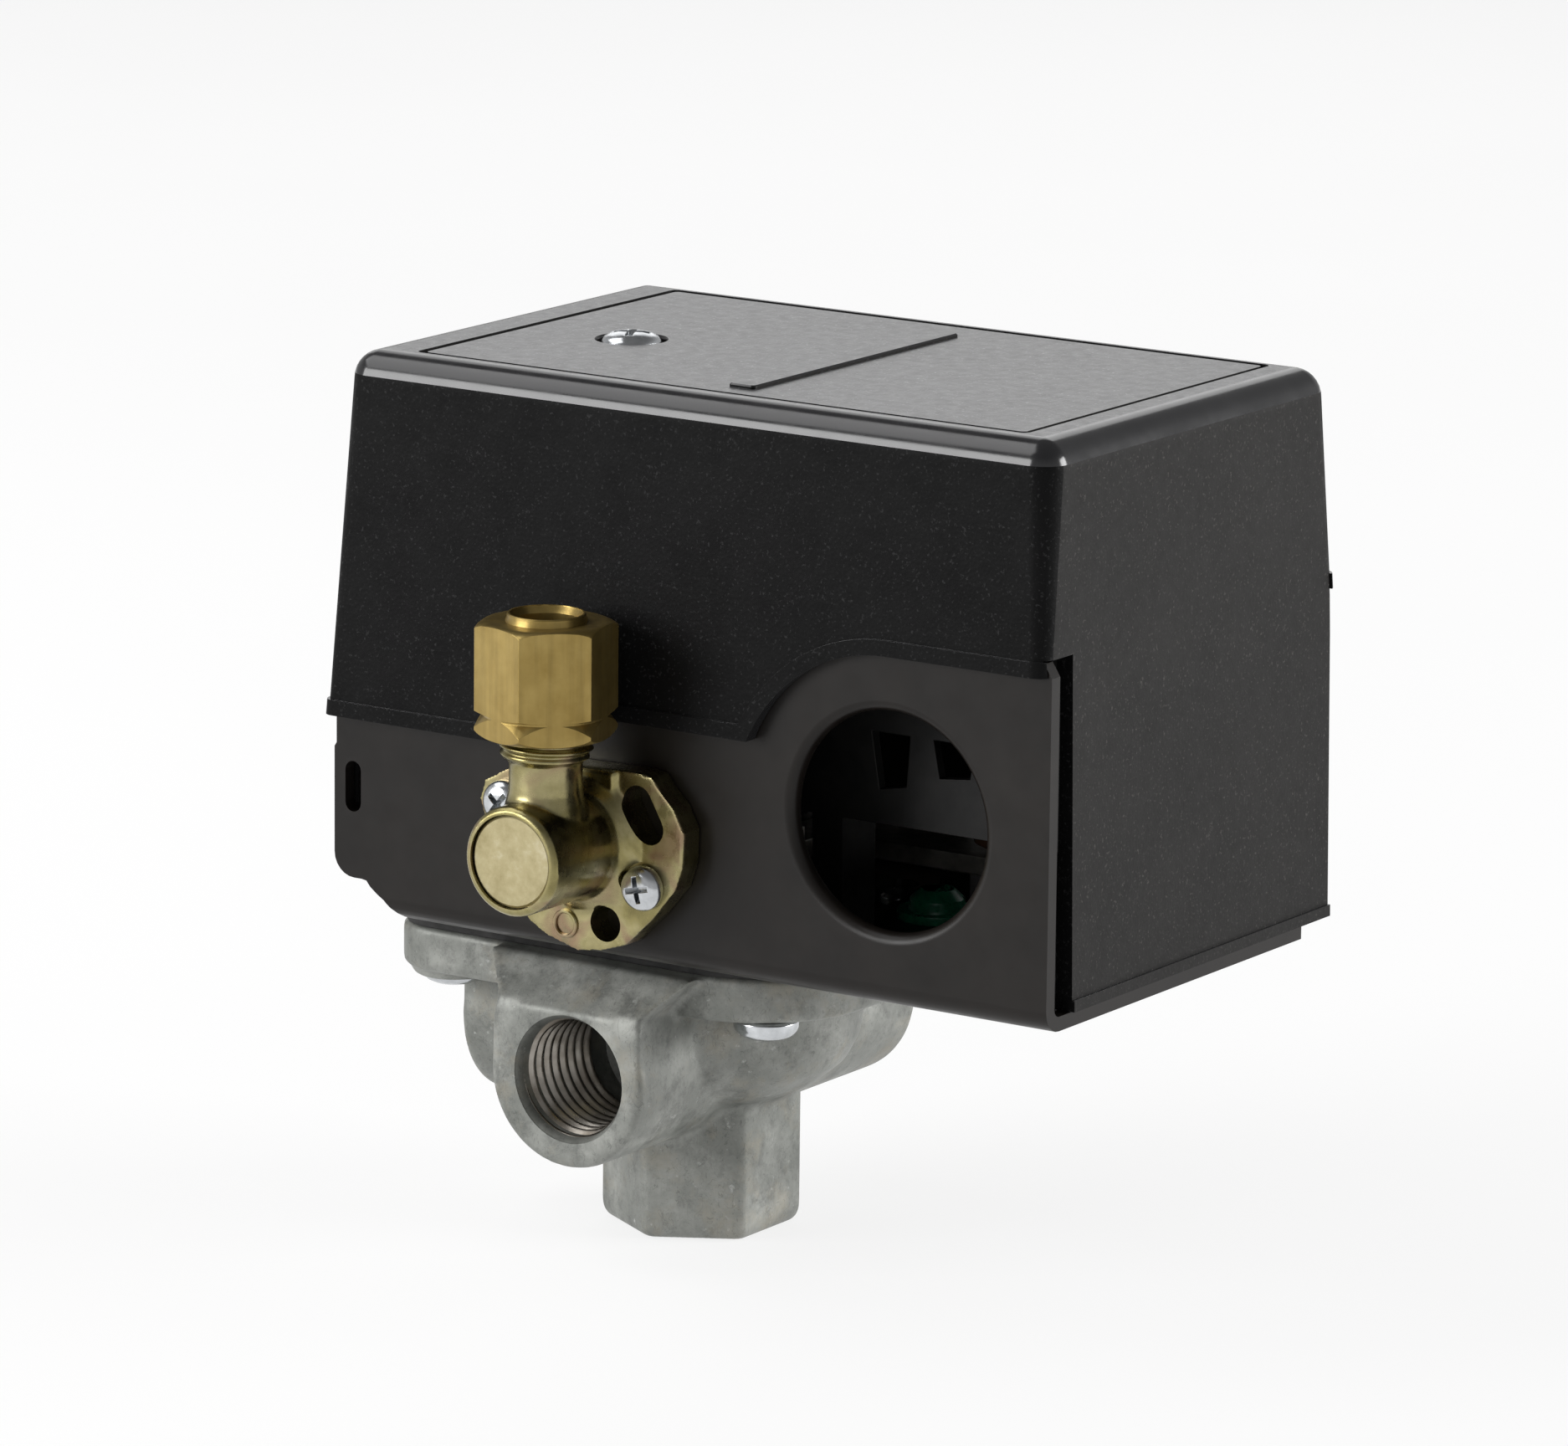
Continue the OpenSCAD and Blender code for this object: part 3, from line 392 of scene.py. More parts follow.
def matt_chromate():
    k = Look("chromate_matt", metallic=0.85)
    colour = k.ramp(k.noise(2.2, 6, 0.7), (0.3, (0.27, 0.23, 0.12)), (0.55, (0.35, 0.305, 0.175)),
                    (0.75, (0.44, 0.40, 0.28)))
    k.bump(k.noise(0.35, 3), 0.02, 0.5)
    return k.done(colour, k.cloud(1.0, 4, (0.3, 0.42), (0.7, 0.56)))


def brass():
    k = Look("turned_brass", metallic=0.8)
    drawn = k.noise(0.9, 4, vector=k.stretched(1.0, 1.0, 0.05))
    colour = k.cloud(4, 4, (0.3, (0.27, 0.185, 0.05)), (0.7, (0.38, 0.275, 0.09)))
    colour = k.mix(0.35, colour, k.ramp(drawn, (0.35, 0.55), (0.6, 1.0)), "MULTIPLY")
    k.bump(drawn, 0.008, 0.4)
    return k.done(colour, k.cloud(1.2, 4, (0.3, 0.28), (0.7, 0.4)))


def metal(name, low, high, rough, size=2.0, drawn=(1, 1, 1)):
    k = Look(name, metallic=1.0)
    colour = k.cloud(size, 4, (0.3, low), (0.72, high))
    k.bump(k.noise(0.6, 3, vector=k.stretched(*drawn)), 0.01, 0.4)
    return k.done(colour, k.cloud(1.3, 4, (0.3, rough[0]), (0.7, rough[1])))


def plain(name, low, high, rough, size=3.0, specular=0.45):
    k = Look(name, specular=specular)
    colour = k.cloud(size, 4, (0.3, low), (0.72, high))
    k.bump(k.noise(0.5, 3), 0.02, 0.4)
    return k.done(colour, k.cloud(1.3, 4, (0.3, rough[0]), (0.7, rough[1])))


GRAIN = grained_plastic("cover_grain", (0.0032, 0.0032, 0.0033), (0.0058, 0.0058, 0.0059), 0.055,
                        (0.46, 0.58))
# Top panel: the same grained plastic painted several times lighter and given more shine, which is painted
# light falling on the top
PANEL_PAINTED_LIT = grained_plastic("cover_panel_painted_lit", (0.035, 0.035, 0.036), (0.055, 0.055, 0.057), 0.9, (0.3, 0.4))
# End walls: the same grained plastic painted a little lighter, which is painted light from the side on the
# end walls
END_WALLS_PAINTED_LIT = grained_plastic("cover_end_painted_lit", (0.0078, 0.0073, 0.0069), (0.0112, 0.0105, 0.0099), 0.12, (0.5, 0.6))
EDGE, PAINT, ZINC, THREAD = smooth_plastic(), black_paint(), cast_zinc(), cut_thread()
CHROMATE, CHROMATE_MATT, BRASS = chromate(), matt_chromate(), brass()
BRIGHT = metal("zinc_plate", (0.44, 0.455, 0.47), (0.66, 0.68, 0.70), (0.16, 0.28))
GROUND = metal("ground_steel", (0.50, 0.51, 0.52), (0.68, 0.69, 0.70), (0.2, 0.32))
STRIP = metal("strip_steel", (0.34, 0.33, 0.30), (0.52, 0.50, 0.46), (0.32, 0.48), drawn=(0.1, 1, 1))
SPRING = metal("spring_steel", (0.24, 0.25, 0.26), (0.42, 0.43, 0.45), (0.24, 0.36))
ALLOY = metal("turned_alloy", (0.55, 0.56, 0.57), (0.72, 0.73, 0.74), (0.26, 0.4))
SILVER = metal("contact_silver", (0.68, 0.68, 0.66), (0.86, 0.86, 0.84), (0.18, 0.3), size=0.9)
RUBBER = plain("rubber", (0.010, 0.010, 0.010), (0.022, 0.021, 0.020), (0.6, 0.8), specular=0.3)
PHENOLIC = plain("moulding", (0.0045, 0.0045, 0.0045), (0.0095, 0.009, 0.0085), (0.4, 0.55), specular=0.2)
BROWN = plain("carrier_plastic", (0.055, 0.026, 0.012), (0.10, 0.05, 0.025), (0.36, 0.5))
GREEN = plain("green_paint", (0.004, 0.09, 0.045), (0.012, 0.20, 0.10), (0.24, 0.4), size=1.0)

# Finish of each CAD node; the rest are zinc plated
NODE_LOOKS = {
    "base_frame": PAINT, "port_manifold": ZINC, "diaphragm": RUBBER, "diaphragm_plate": ALLOY,
    "push_pin": GROUND, "lever_bracket": STRIP, "lever_pin": GROUND, "main_lever": STRIP,
    "spring_bracket": STRIP, "range_spring": SPRING, "contact_springs": SPRING, "valve_spring": SPRING,
    "contact_block": PHENOLIC,
    "carrier_cap": PHENOLIC, "contact_carrier": BROWN, "terminal_strips": BRASS, "contact_bridges": BRASS,
    "terminal_clamps": BRASS, "fixed_tips": SILVER, "moving_tips": SILVER, "ground_screw": GREEN,
    "trip_bracket": STRIP, "trip_pin": GROUND, "trip_arm": CHROMATE, "unloader_body": CHROMATE,
    "valve_cap": CHROMATE_MATT, "valve_plunger": GROUND, "valve_seal": RUBBER, "ferrule": BRASS,
    "compression_nut": BRASS, "cover": GRAIN}
for name, node in NODES.items():
    if not node.material_slots:
        node.data.materials.append(None)
    for s in node.material_slots:
        s.link = "OBJECT"
        s.material = NODE_LOOKS.get(name, BRIGHT)


# ---------------------------------------------------------------- casting

def hexagon(radius, corner, turn=30.0, n=5):
    """Hexagon with rounded corners; radius is to the sharp corner."""
    points = []
    reach = radius - corner / math.cos(math.radians(30))
    for i in range(6):
        a = turn + 60 * i
        cx, cy = reach * math.cos(math.radians(a)), reach * math.sin(math.radians(a))
        points += arc(cx, cy, corner, a - 30, a + 30, n)
    return points


def flange_outline(inset):
    """The casting's flange in plan: small corners at the left, large ones at the right."""
    x0, x1, y1 = -28.2 + inset, 23.5 - inset, 18.3 - inset
    r0, r1 = 5.5 - inset / 2, 13 - inset
    return (arc(x1 - r1, y1 - r1, r1, 0, 90, 14) + arc(x0 + r0, y1 - r0, r0, 90, 180, 8)
            + arc(x0 + r0, r0 - y1, r0, 180, 270, 8) + arc(x1 - r1, r1 - y1, r1, 270, 360, 14))


def flange_loft(*levels):
    """Solid over the flange's outline, from (inset, height) pairs."""
    return [level(flange_outline(inset), z) for inset, z in levels]


def add_port(bm, turn, reach, edge, lean):
    """Side port's round boss, with a web from its face up to the flange, narrowing as it slopes back."""
    r = BOSS_R
    made = len(bm.verts)
    add_turned(bm, [(r - 0.9, 0), (r, 0), (r, reach - 0.7), (r - 0.2, reach - 0.2), (r - 0.75, reach)],
               (lean, 0, 0), "y", 72)
    bm.verts.ensure_lookup_table()
    boss = bm.verts[made:]
    spin(bm, boss, turn + 180)
    bmesh.ops.translate(bm, verts=boss, vec=(0, 0, PORT_Z))
    c, s = math.cos(math.radians(turn)), math.sin(math.radians(turn))
    rings = []
    # height, share of the way back to the flange's edge, half width
    for z, back, half in ((PORT_Z, 0, 9.3), (26.2, 0, 9.2), (27.6, 0.08, 9.0), (29.4, 0.42, 10.4),
                          (FLANGE_TOP - 0.1, 1.0, 12.8)):
        y = -reach + (reach - edge) * back
        corners = ((-half - lean, 0), (-half - lean, y), (half - lean, y), (half - lean, 0))
        rings.append([(u * c - v * s, u * s + v * c, z) for u, v in corners])
    add_loft(bm, rings)


def casting():
    """Hexagonal boss, dish, three side ports and flange, melted into one skin and then machined."""
    bm = bmesh.new()
    add_loft(bm, [level(hexagon(10.62 - d, max(1.2 - d * 0.5, 0.4)), z) for d, z in
                  ((1.15, 0.0), (0.55, 0.35), (0.15, 0.95), (0.0, 1.7), (0.0, 30.0))])
    add_turned(bm, [(0, 14), (9, 14), (12.8, 16.2), (15.4, 18.4), (16.6, 20.8), (17.0, 23.5), (17.05, 28),
                    (0, 28)])
    for port in PORTS.values():
        add_port(bm, *port)
    add_loft(bm, flange_loft((0.5, FLANGE_Z), (0.0, FLANGE_Z + 0.5), (0.0, FLANGE_TOP - 0.3),
                             (0.25, FLANGE_TOP)))
    for x, y in FLANGE_HOLES[:2]:
        add_turned(bm, [(0, FLANGE_Z - 1.2), (4.0, FLANGE_Z - 1.2), (4.5, FLANGE_Z - 0.6),
                        (4.6, FLANGE_Z + 0.5), (0, FLANGE_Z + 0.5)], (x, y, 0))
    obj = make("manifold_casting", bm)
    voxel = 0.3
    melt(obj, voxel, 4)
    # the front boss is flush with its web; the machined mouths and bores come after the second melt
    carve(obj, prism([(-24.7, 27.1), (-20.3, 31.45), (-20.3, 36), (-30, 36), (-30, 27.1)], -14, 14, "x"))
    melt(obj, voxel, 4)
    carve(obj, turned([(0, -2), (6.9, -2), (6.9, 0.0), (BORE_R, 0.8), (BORE_R, 12.3), (3.0, 12.9), (3.0, 33),
                       (0, 33)]))
    seats = bmesh.new()
    for x, y in FLANGE_HOLES:
        add_turned(seats, [(0, FLANGE_Z - 2.5), (3.7, FLANGE_Z - 2.5), (3.7, FLANGE_Z), (0, FLANGE_Z)],
                   (x, y, 0), segments=48)
    carve(obj, seats)
    for turn, reach, _, _ in PORTS.values():
        bore = turned([(0, 3), (3.4, 3), (3.4, reach - 16.9), (6.0, reach - 15.4), (BORE_R, reach - 12.3),
                       (BORE_R, reach - 0.8), (6.75, reach - 0.2), (6.9, reach + 1), (0, reach + 1)],
                      axis="y")
        spin(bore, bore.verts, turn + 180)
        bmesh.ops.translate(bore, verts=bore.verts, vec=(0, 0, PORT_Z))
        carve(obj, bore)
    place(shade(obj, 50), "housing", "die_cast_zinc", [ZINC], "port_manifold")


def port_thread(name, turn, reach, down=False):
    """Threaded wall of a port; the thread grows shallow and wider towards the mouth."""
    def radius(tooth, h):
        fade = min(1.0, max(0.0, (THREAD_LENGTH - h) / 1.1))
        depth = (THREAD_ROOT - THREAD_CREST) * tooth * (0.35 + 0.65 * fade)
        return THREAD_ROOT - depth + 0.12 * h / THREAD_LENGTH

    bm = add_helix(bmesh.new(), THREAD_LENGTH, THREAD_PITCH, 80, 10, radius, THREAD_WALL,
                   (0, 0, reach - 1.0 - THREAD_LENGTH))
    if down:
        bmesh.ops.transform(bm, matrix=Matrix.Rotation(math.pi, 4, "X"), verts=bm.verts)
    else:
        bmesh.ops.transform(bm, matrix=Matrix.Rotation(math.radians(90), 4, "X"), verts=bm.verts)
        spin(bm, bm.verts, turn)
        bmesh.ops.translate(bm, verts=bm.verts, vec=(0, 0, PORT_Z))
    place(shade(make(name, bm), 130), "housing", "die_cast_zinc", [THREAD])


casting()
for side, (turn, reach, _, _) in PORTS.items():
    port_thread(side + "_port_thread", turn, reach)
port_thread("bottom_port_thread", 0, 0, down=True)


# ---------------------------------------------------------------- cover

def rounded(hx, hy, r, z, cx=BASE_CX, cy=0.0):
    """Ring of a rounded rectangle at a height, from its half sizes."""
    r = max(r, 0.12)
    points = []
    for sx, sy, a in ((1, 1, 0), (-1, 1, 90), (-1, -1, 180), (1, -1, 270)):
        points += arc(cx + sx * (hx - r), cy + sy * (hy - r), r, a, a + 90, 6)
    return level(points, z)


def cover_rings(grow, z0, z1, edge=0.0):
    """Drafted sides from z0 to z1, rounded over by edge at the top; the upright corners widen upwards."""
    def ring(z, inset=0.0, drawn_at=None):
        corner = 1.1 + 1.8 * min(max((z - 56) / 35, 0), 1) + grow
        return rounded(44 - 0.018 * (z - FLOOR_Z) + grow - inset, 28 + 0.067 * (72.2 - z) + grow - inset,
                       corner - inset, z if drawn_at is None else drawn_at)
    rings = [ring(z0)] + [ring(z) for z in (56, 72) if z0 < z < z1 - edge] + [ring(z1 - edge)]
    if edge:
        for i in range(1, 9):
            a = math.radians(90 * i / 8)
            rings.append(ring(z1 - edge, edge * (1 - math.cos(a)), z1 - edge + edge * math.sin(a)))
    return rings


def window(grow, x0=-60.0, x1=90.0):
    """What the skirt leaves open on the long sides, as an (x, z) outline."""
    r = SKIRT_ARC + grow
    start = 180 - math.degrees(math.asin((SKIRT_MID + grow - HOLE_Z) / r))
    return ([(x0, 0), (x0, SKIRT_LEFT + grow), (0, SKIRT_LEFT + grow), (0.3, SKIRT_MID + grow)]
            + arc(HOLE_X, HOLE_Z, r, start, 90, 16) + [(x1, HOLE_Z + r), (x1, 0)])


def cover():
    """Drafted shell: rim along the skirt, foot on the end walls, seam in the top and a plain raised bar."""
    obj = make("moulded_cover", loft(cover_rings(0, COVER_BOTTOM, COVER_TOP, EDGE_R)))
    for lo, hi in ((-40, END_FRONT), (END_BACK, 40)):
        rim = make("rim", loft(cover_rings(0.3, 50, 80)))
        carve(rim, prism(window(1.6), lo, hi, "y"), "INTERSECT")
        carve(obj, rim, "UNION")
    foot = make("foot", loft(cover_rings(0.3, COVER_BOTTOM, COVER_BOTTOM + 1.2)))
    carve(foot, block(-40, 70, END_FRONT, END_BACK, 30, 40), "INTERSECT")
    carve(obj, foot, "UNION")
    # open long sides, then the left wall's short and rounded front corner
    for x0, lo, hi in ((-20, -45, END_FRONT), (-60, -45, LEFT_EDGE), (-60, END_BACK, 45)):
        carve(obj, prism(window(0.0, x0), lo, hi, "y"))
    carve(obj, block(-60, -20, -45, END_FRONT, 30, LEFT_FOOT))
    carve(obj, prism([(-24, 35), (-18.6, 35), (-18.6, COVER_BOTTOM - 0.1), (-21.2, 38.6), (-22.6, 41.2),
                      (-24, LEFT_FOOT - 0.1)], -60, -20, "x"))
    # hollow, with relief around the base's flanges
    carve(obj, loft(cover_rings(-WALL, 20, COVER_TOP - WALL, EDGE_R - 1)))
    carve(obj, block(BASE_CX - 42, BASE_CX + 42, -SIDE_Y + SHEET, SIDE_Y - SHEET, 10, 70))
    outside = SIDE_Y + 0.15
    for x0, x1, lo, hi in ((-20, BASE_X1 + 0.1, -outside, END_FRONT),
                           (BASE_X0 - 0.1, -19, -outside, LEFT_EDGE),
                           (-25.6, 57.4, END_FRONT - 1, outside)):
        carve(obj, prism(window(LAP + 0.3, x0, x1), lo, hi, "y"))
    carve(obj, turned([(0, 90.4), (5.2, 90.4), (5.6, 91.2), (5.9, 92.6), (0, 92.6)], SCREW_SPOT), "UNION")
    bar = [rounded(1.6 - d, 19 - d, 0.5 - d / 1.5, COVER_TOP + z, 17.6, -1)
           for d, z in ((0, -0.8), (0, 0.25), (0.15, 0.4))]
    carve(obj, loft(bar), "UNION")
    carve(obj, turned([(0, 90), (2.3, 90), (2.3, HEAD_Z), (3.6, HEAD_Z), (3.65, COVER_TOP - 0.3),
                       (3.9, COVER_TOP + 0.1), (3.9, 95), (0, 95)], SCREW_SPOT))
    seam = [rounded(PANEL_X + grow, PANEL_Y + grow, r, COVER_TOP + z, PANEL_CX - shift, shift)
            for grow, r, z, shift in ((0.18, 0.9, -0.55, 0.18), (0.2, 0.9, 1, 0.2), (-0.6, 0.5, 1, 0),
                                      (-0.55, 0.5, -0.55, 0))]
    carve(obj, loft(seam, closed=True))
    soften(obj, 0.16, 34)
    shade(baked(obj), 30)
    place(obj, "cover", "cover_plastic", [GRAIN, EDGE, PANEL_PAINTED_LIT, END_WALLS_PAINTED_LIT], "cover")
    # Faces take their finish by direction; the top panel inside the seam gets the painted-lit copy of the
    # grain
    for face in obj.data.polygons:
        n, c = face.normal, face.center / MM
        if n.z > 0.99:
            inside = abs(c.x - PANEL_CX) < PANEL_X - 0.5 and abs(c.y) < PANEL_Y - 0.5
            face.material_index = 2 if inside else 1
        else:
            flat = max(abs(n.y) * 0.9978 + n.z * 0.0668, abs(n.x) * 0.99984 + n.z * 0.018)
            # End walls get the painted-lit copy of the grain
            side = 3 if abs(n.x) > 0.98 else 0
            face.material_index = side if flat > 0.9985 or abs(n.z) < 0.12 else 1


cover()


# ---------------------------------------------------------------- base

def side_outline(x0, x1):
    """Side flange of the base, as an (x, z) outline."""
    top = window(LAP, x0 + 0.9, x1 - 0.9)[1:-1]
    right = [(x1, HOLE_Z + SKIRT_ARC), (x1, BASE_Z)]
    foot = [(x, BASE_Z + up) for x, up in
            ((-18.6, 0), (-19.4, 0.2), (-20.2, 0.7), (-20.9, 1.3), (-21.5, 2.0), (-22.4, 2.6), (-23.2, 3.2),
             (-23.7, 3.8), (-24.3, 3.9)) if x > x0 + 2.5]
    left = arc(x0 + 2.5, BASE_Z + 6.4, 2.5, 270, 180, 6)
    notch = [(x0, 52.3), (x0 + 0.27, 52.7), (x0 + 0.27, SKIRT_LEFT), (x0 + 0.9, SKIRT_LEFT)]
    return top + right + foot + left + notch


def base():
    """Folded channel with a dished floor, rolled wiring holes, a slot and the screw holes."""
    outer, inner = 2.4, 0.9
    low_out, low_in = BASE_Z + outer, FLOOR_Z + inner
    y_out, y_in = SIDE_Y - outer, SIDE_Y - SHEET - inner
    section = ([(-SIDE_Y, 80)] + arc(-y_out, low_out, outer, 180, 270, 6)
               + arc(y_out, low_out, outer, 270, 360, 6) + [(SIDE_Y, 80), (SIDE_Y - SHEET, 80)]
               + arc(y_in, low_in, inner, 360, 270, 4) + arc(-y_in, low_in, inner, 270, 180, 4)
               + [(SHEET - SIDE_Y, 80)])

    def channel(cutter, name="channel"):
        return carve(make(name, prism(section, BASE_X0, BASE_X1, "x")), cutter, "INTERSECT")

    left, right = BASE_X0 + 0.4, BASE_X1 + 1
    obj = channel(prism([(left + 3.2, -22), (right, -22), (right, 22), (left, 22), (left, -17)], 30, 37),
                  "folded_base")
    carve(obj, channel(prism(side_outline(BASE_X0, BASE_X1), -30, -21.5, "y")), "UNION")
    carve(obj, channel(prism(side_outline(BASE_X0 + 2.4, BASE_X1 - 2.4), 21.5, 30, "y")), "UNION")
    dish = flange_loft((2.5, DISH_Z), (2.0, DISH_Z + 0.4), (1.5, DISH_Z + 1.6), (1.2, BASE_Z + 0.5))
    carve(obj, loft(dish), "UNION")
    carve(obj, loft(flange_loft((4.0, DISH_Z + 1.5), (3.6, DISH_Z + 1.9), (3.0, FLOOR_Z + 0.7))))
    rolled = [(HOLE_R + LIP * (1 - math.cos(math.radians(a))), LIP * math.sin(math.radians(a)))
              for a in range(0, 91, 15)]
    edge = SIDE_Y - LIP
    profile = ([(0, -30), (LIP_OUT, -30), (LIP_OUT, -SIDE_Y - 0.02)]
               + [(r, -edge - d) for r, d in reversed(rolled)] + [(r, edge + d) for r, d in rolled]
               + [(LIP_OUT, SIDE_Y + 0.02), (LIP_OUT, 30), (0, 30)])
    carve(obj, turned(profile, (HOLE_X, 0, HOLE_Z), "y", 96))
    carve(obj, prism(arc(-25.4, 50, 1.0, 0, 180) + arc(-25.4, 46.6, 1.0, 180, 360), -30, -20, "y"))
    holes = bmesh.new()
    # through the floor: diaphragm, flange screws, bracket's screws, block's screws, earth screw, rivets
    spots = [(-3.4, 0, 11.4)] + [(x, y, 2.12) for x, y in FLANGE_HOLES]
    spots += [(-6.5 + a * 3.7, b * 22.3, 1.55) for a in (-1, 1) for b in (-1, 1)]
    spots += [(53.2, 0, 1.8), (27.5, 2.5, 2.05)]
    for b in (-1, 1):
        spots += [(25.4, b * 12, 1.8), (-21, b * 18.6, 1.25), (VALVE_X + 6, -19.8 + b * 1.7, 1.05)]
    for i, (x, y, r) in enumerate(spots):
        z0, z1 = (30, 40) if i == 0 else (31, 38)
        add_turned(holes, [(0, z0), (r, z0), (r, z1), (0, z1)], (x, y, 0), segments=32)
    carve(obj, holes)
    front = bmesh.new()
    for (x, z), r in zip(((VALVE_X, VALVE_Z), *VALVE_HOLES), (3.6, 1.6, 1.6)):
        add_turned(front, [(0, -30), (r, -30), (r, -20), (0, -20)], (x, 0, z), "y", 32)
    carve(obj, front)
    soften(obj, 0.32, 34, 3)
    place(shade(baked(obj), 30), "housing", "base_paint", [PAINT], "base_frame")


base()


# ---------------------------------------------------------------- unloader valve

def unloader():
    """Valve body: plate, barrel and upright branch melted together, then bored; its thread and end cap."""
    front, back = PLATE_Y, -SIDE_Y - 0.02
    bm = bmesh.new()
    add_prism(bm, [(0.2, 37.7), (1.6, 37.0), (5.2, 35.95), (8.2, 36.4), (11.0, 37.3), (14.4, 40.5),
                   (17.2, 43.9), (18.1, 46.5), (18.2, 50.0), (16.9, 52.4), (15.6, 53.6), (14.3, 55.2),
                   (12.6, 55.5), (3.5, 55.3), (-3.4, 53.9), (-6.4, 52.2), (-7.0, 50.2), (-6.3, 48.0),
                   (-4.2, 46.6), (-1.6, 44.9), (-1.2, 41.6), (-1.5, 39.4), (-0.9, 38.3)], front, back, "y")
    add_prism(bm, [(-1.0, 55.2), (9.9, 55.2), (9.95, 51.1), (10.6, 50.2), (11.0, 48.7), (11.1, 46.3),
                   (9.6, 43.4), (7, 41.8), (3, 41.6), (-1.0, 43.5)], front - 0.55, front + 1, "y")
    add_turned(bm, [(0, BARREL_Y), (5.25, BARREL_Y), (5.65, BARREL_Y + 0.45), (5.65, -33.0), (5.9, -32.0),
                    (6.6, -31.2), (7.4, front), (7.4, -29), (0, -29)], BARREL_SPOT, "y", 72)
    add_turned(bm, [(0, VALVE_Z), (4.4, VALVE_Z), (4.3, 51.9), (4.0, 52.9), (3.78, 53.8), (3.72, 55.0),
                    (3.72, 56.9), (4.0, 57.3), (4.3, 57.35), (4.3, 64.3), (0, 64.3)], BRANCH_SPOT)
    obj = melt(make("valve_body", bm), 0.2, 5)
    cuts = [turned([(0, -45), (4.85, -45), (4.85, -41.3), (2.9, -41.2), (2.9, -30), (1.55, -29.9),
                    (1.55, -20), (0, -20)], BARREL_SPOT, "y"),
            turned([(0, 50.3), (1.6, 50.3), (1.6, 57.6), (3.27, 58.4), (3.27, 66), (0, 66)],
                   BRANCH_SPOT, "z", 48),
            turned([(0, -34), (2.1, -34), (2.1, front - 0.7), (1.85, front - 0.1), (1.85, -20), (0, -20)],
                   (8.7, 0, 39.25), "y", 48)]
    for x, z in VALVE_HOLES:
        cuts.append(turned([(0, -36), (2.75, -36), (2.6, front), (1.6, front), (1.6, -20), (0, -20)],
                           (x, 0, z), "y", 48))
    c, s = math.cos(math.radians(30)), math.sin(math.radians(30))
    cuts.append(prism([(13.3 + c * u - s * v, 51.2 + s * u + c * v) for u, v in
                       arc(0, 1.5, 1.7, 0, 180, 10) + arc(0, -1.5, 1.7, 180, 360, 10)], -33, -20, "y"))
    for cut in cuts:
        carve(obj, cut)
    # plain ring cast on the plate
    rings = [[(3.8 + u, front + h, 38.6 + v) for u, v in circle(r, 40)] for r, h in
             ((1.1, 0.3), (1.1, -0.2), (1.2, -0.3), (1.4, -0.3), (1.5, -0.2), (1.5, 0.3))]
    carve(obj, loft(rings, closed=True), "UNION")
    place(shade(obj, 40), "housing", "chromate", [CHROMATE], "unloader_body")

    length, pitch, root, crest = 6.8, 1.0, 4.32, 4.84

    def radius(tooth, h):
        fade = min(1.0, (length - h) / (0.8 * pitch), 0.25 + h / pitch)
        return root + (crest - root) * tooth * max(fade, 0)

    thread = make("branch_thread", add_helix(bmesh.new(), length, pitch, 72, 8, radius, 4.1,
                                             (VALVE_X, BRANCH_Y, 57.45)))
    place(shade(thread, 130), "housing", "chromate", [CHROMATE])
    cap = make("end_cap", turned([(0, -41.25), (4.6, -41.25), (4.74, -41.4), (4.74, -42.3), (4.5, -42.48),
                                  (3.0, -42.5), (0, -42.46)], BARREL_SPOT, "y", 72))
    place(shade(cap, 30), "housing", "chromate", [CHROMATE_MATT], "valve_cap")


def nut():
    """Chamfered hexagon with a groove near its foot and a round collar around the tube's hole."""
    outline = [(VALVE_X + x, BRANCH_Y + y) for x, y in hexagon(NUT_FLATS / math.sqrt(3), 0.18, -16.6, 3)]
    z0, z1 = NUT_Z0, NUT_Z1 + 0.35
    obj = make("hex_nut", prism(outline, z0, z1))
    carve(obj, turned([(0, z0 - 0.01), (5.95, z0 - 0.01), (6.55, z0 + 0.22), (7.0, z0 + 0.5),
                       (7.45, z0 + 0.95), (6.4, z0 + 2.3), (6.4, z0 + 2.5), (7.45, z0 + 2.85),
                       (7.45, z1 - 0.8), (7.2, z1 - 0.45), (6.8, z1 - 0.2), (6.2, z1 - 0.02),
                       (5.5, z1 + 0.01), (0, z1 + 0.01)],
                      BRANCH_SPOT, "z", 96), "INTERSECT")
    carve(obj, turned([(0, z1 - 1), (4.15, z1 - 1), (4.15, z1 + 0.1), (4.0, z1 + 0.5), (4.0, COLLAR_Z - 0.15),
                       (3.9, COLLAR_Z), (0, COLLAR_Z)], BRANCH_SPOT, "z", 72), "UNION")
    carve(obj, turned([(0, z0 - 1), (5.2, z0 - 1), (4.9, z0 + 0.35), (4.9, 68.8), (3.27, 69.4),
                       (3.27, COLLAR_Z - 0.75), (3.7, COLLAR_Z - 0.1), (3.8, COLLAR_Z + 1),
                       (0, COLLAR_Z + 1)], BRANCH_SPOT, "z", 72))
    soften(obj, 0.07, 28)
    place(shade(baked(obj), 28), "nut", "brass", [BRASS], "compression_nut")


unloader()
nut()


# ---------------------------------------------------------------- range spring

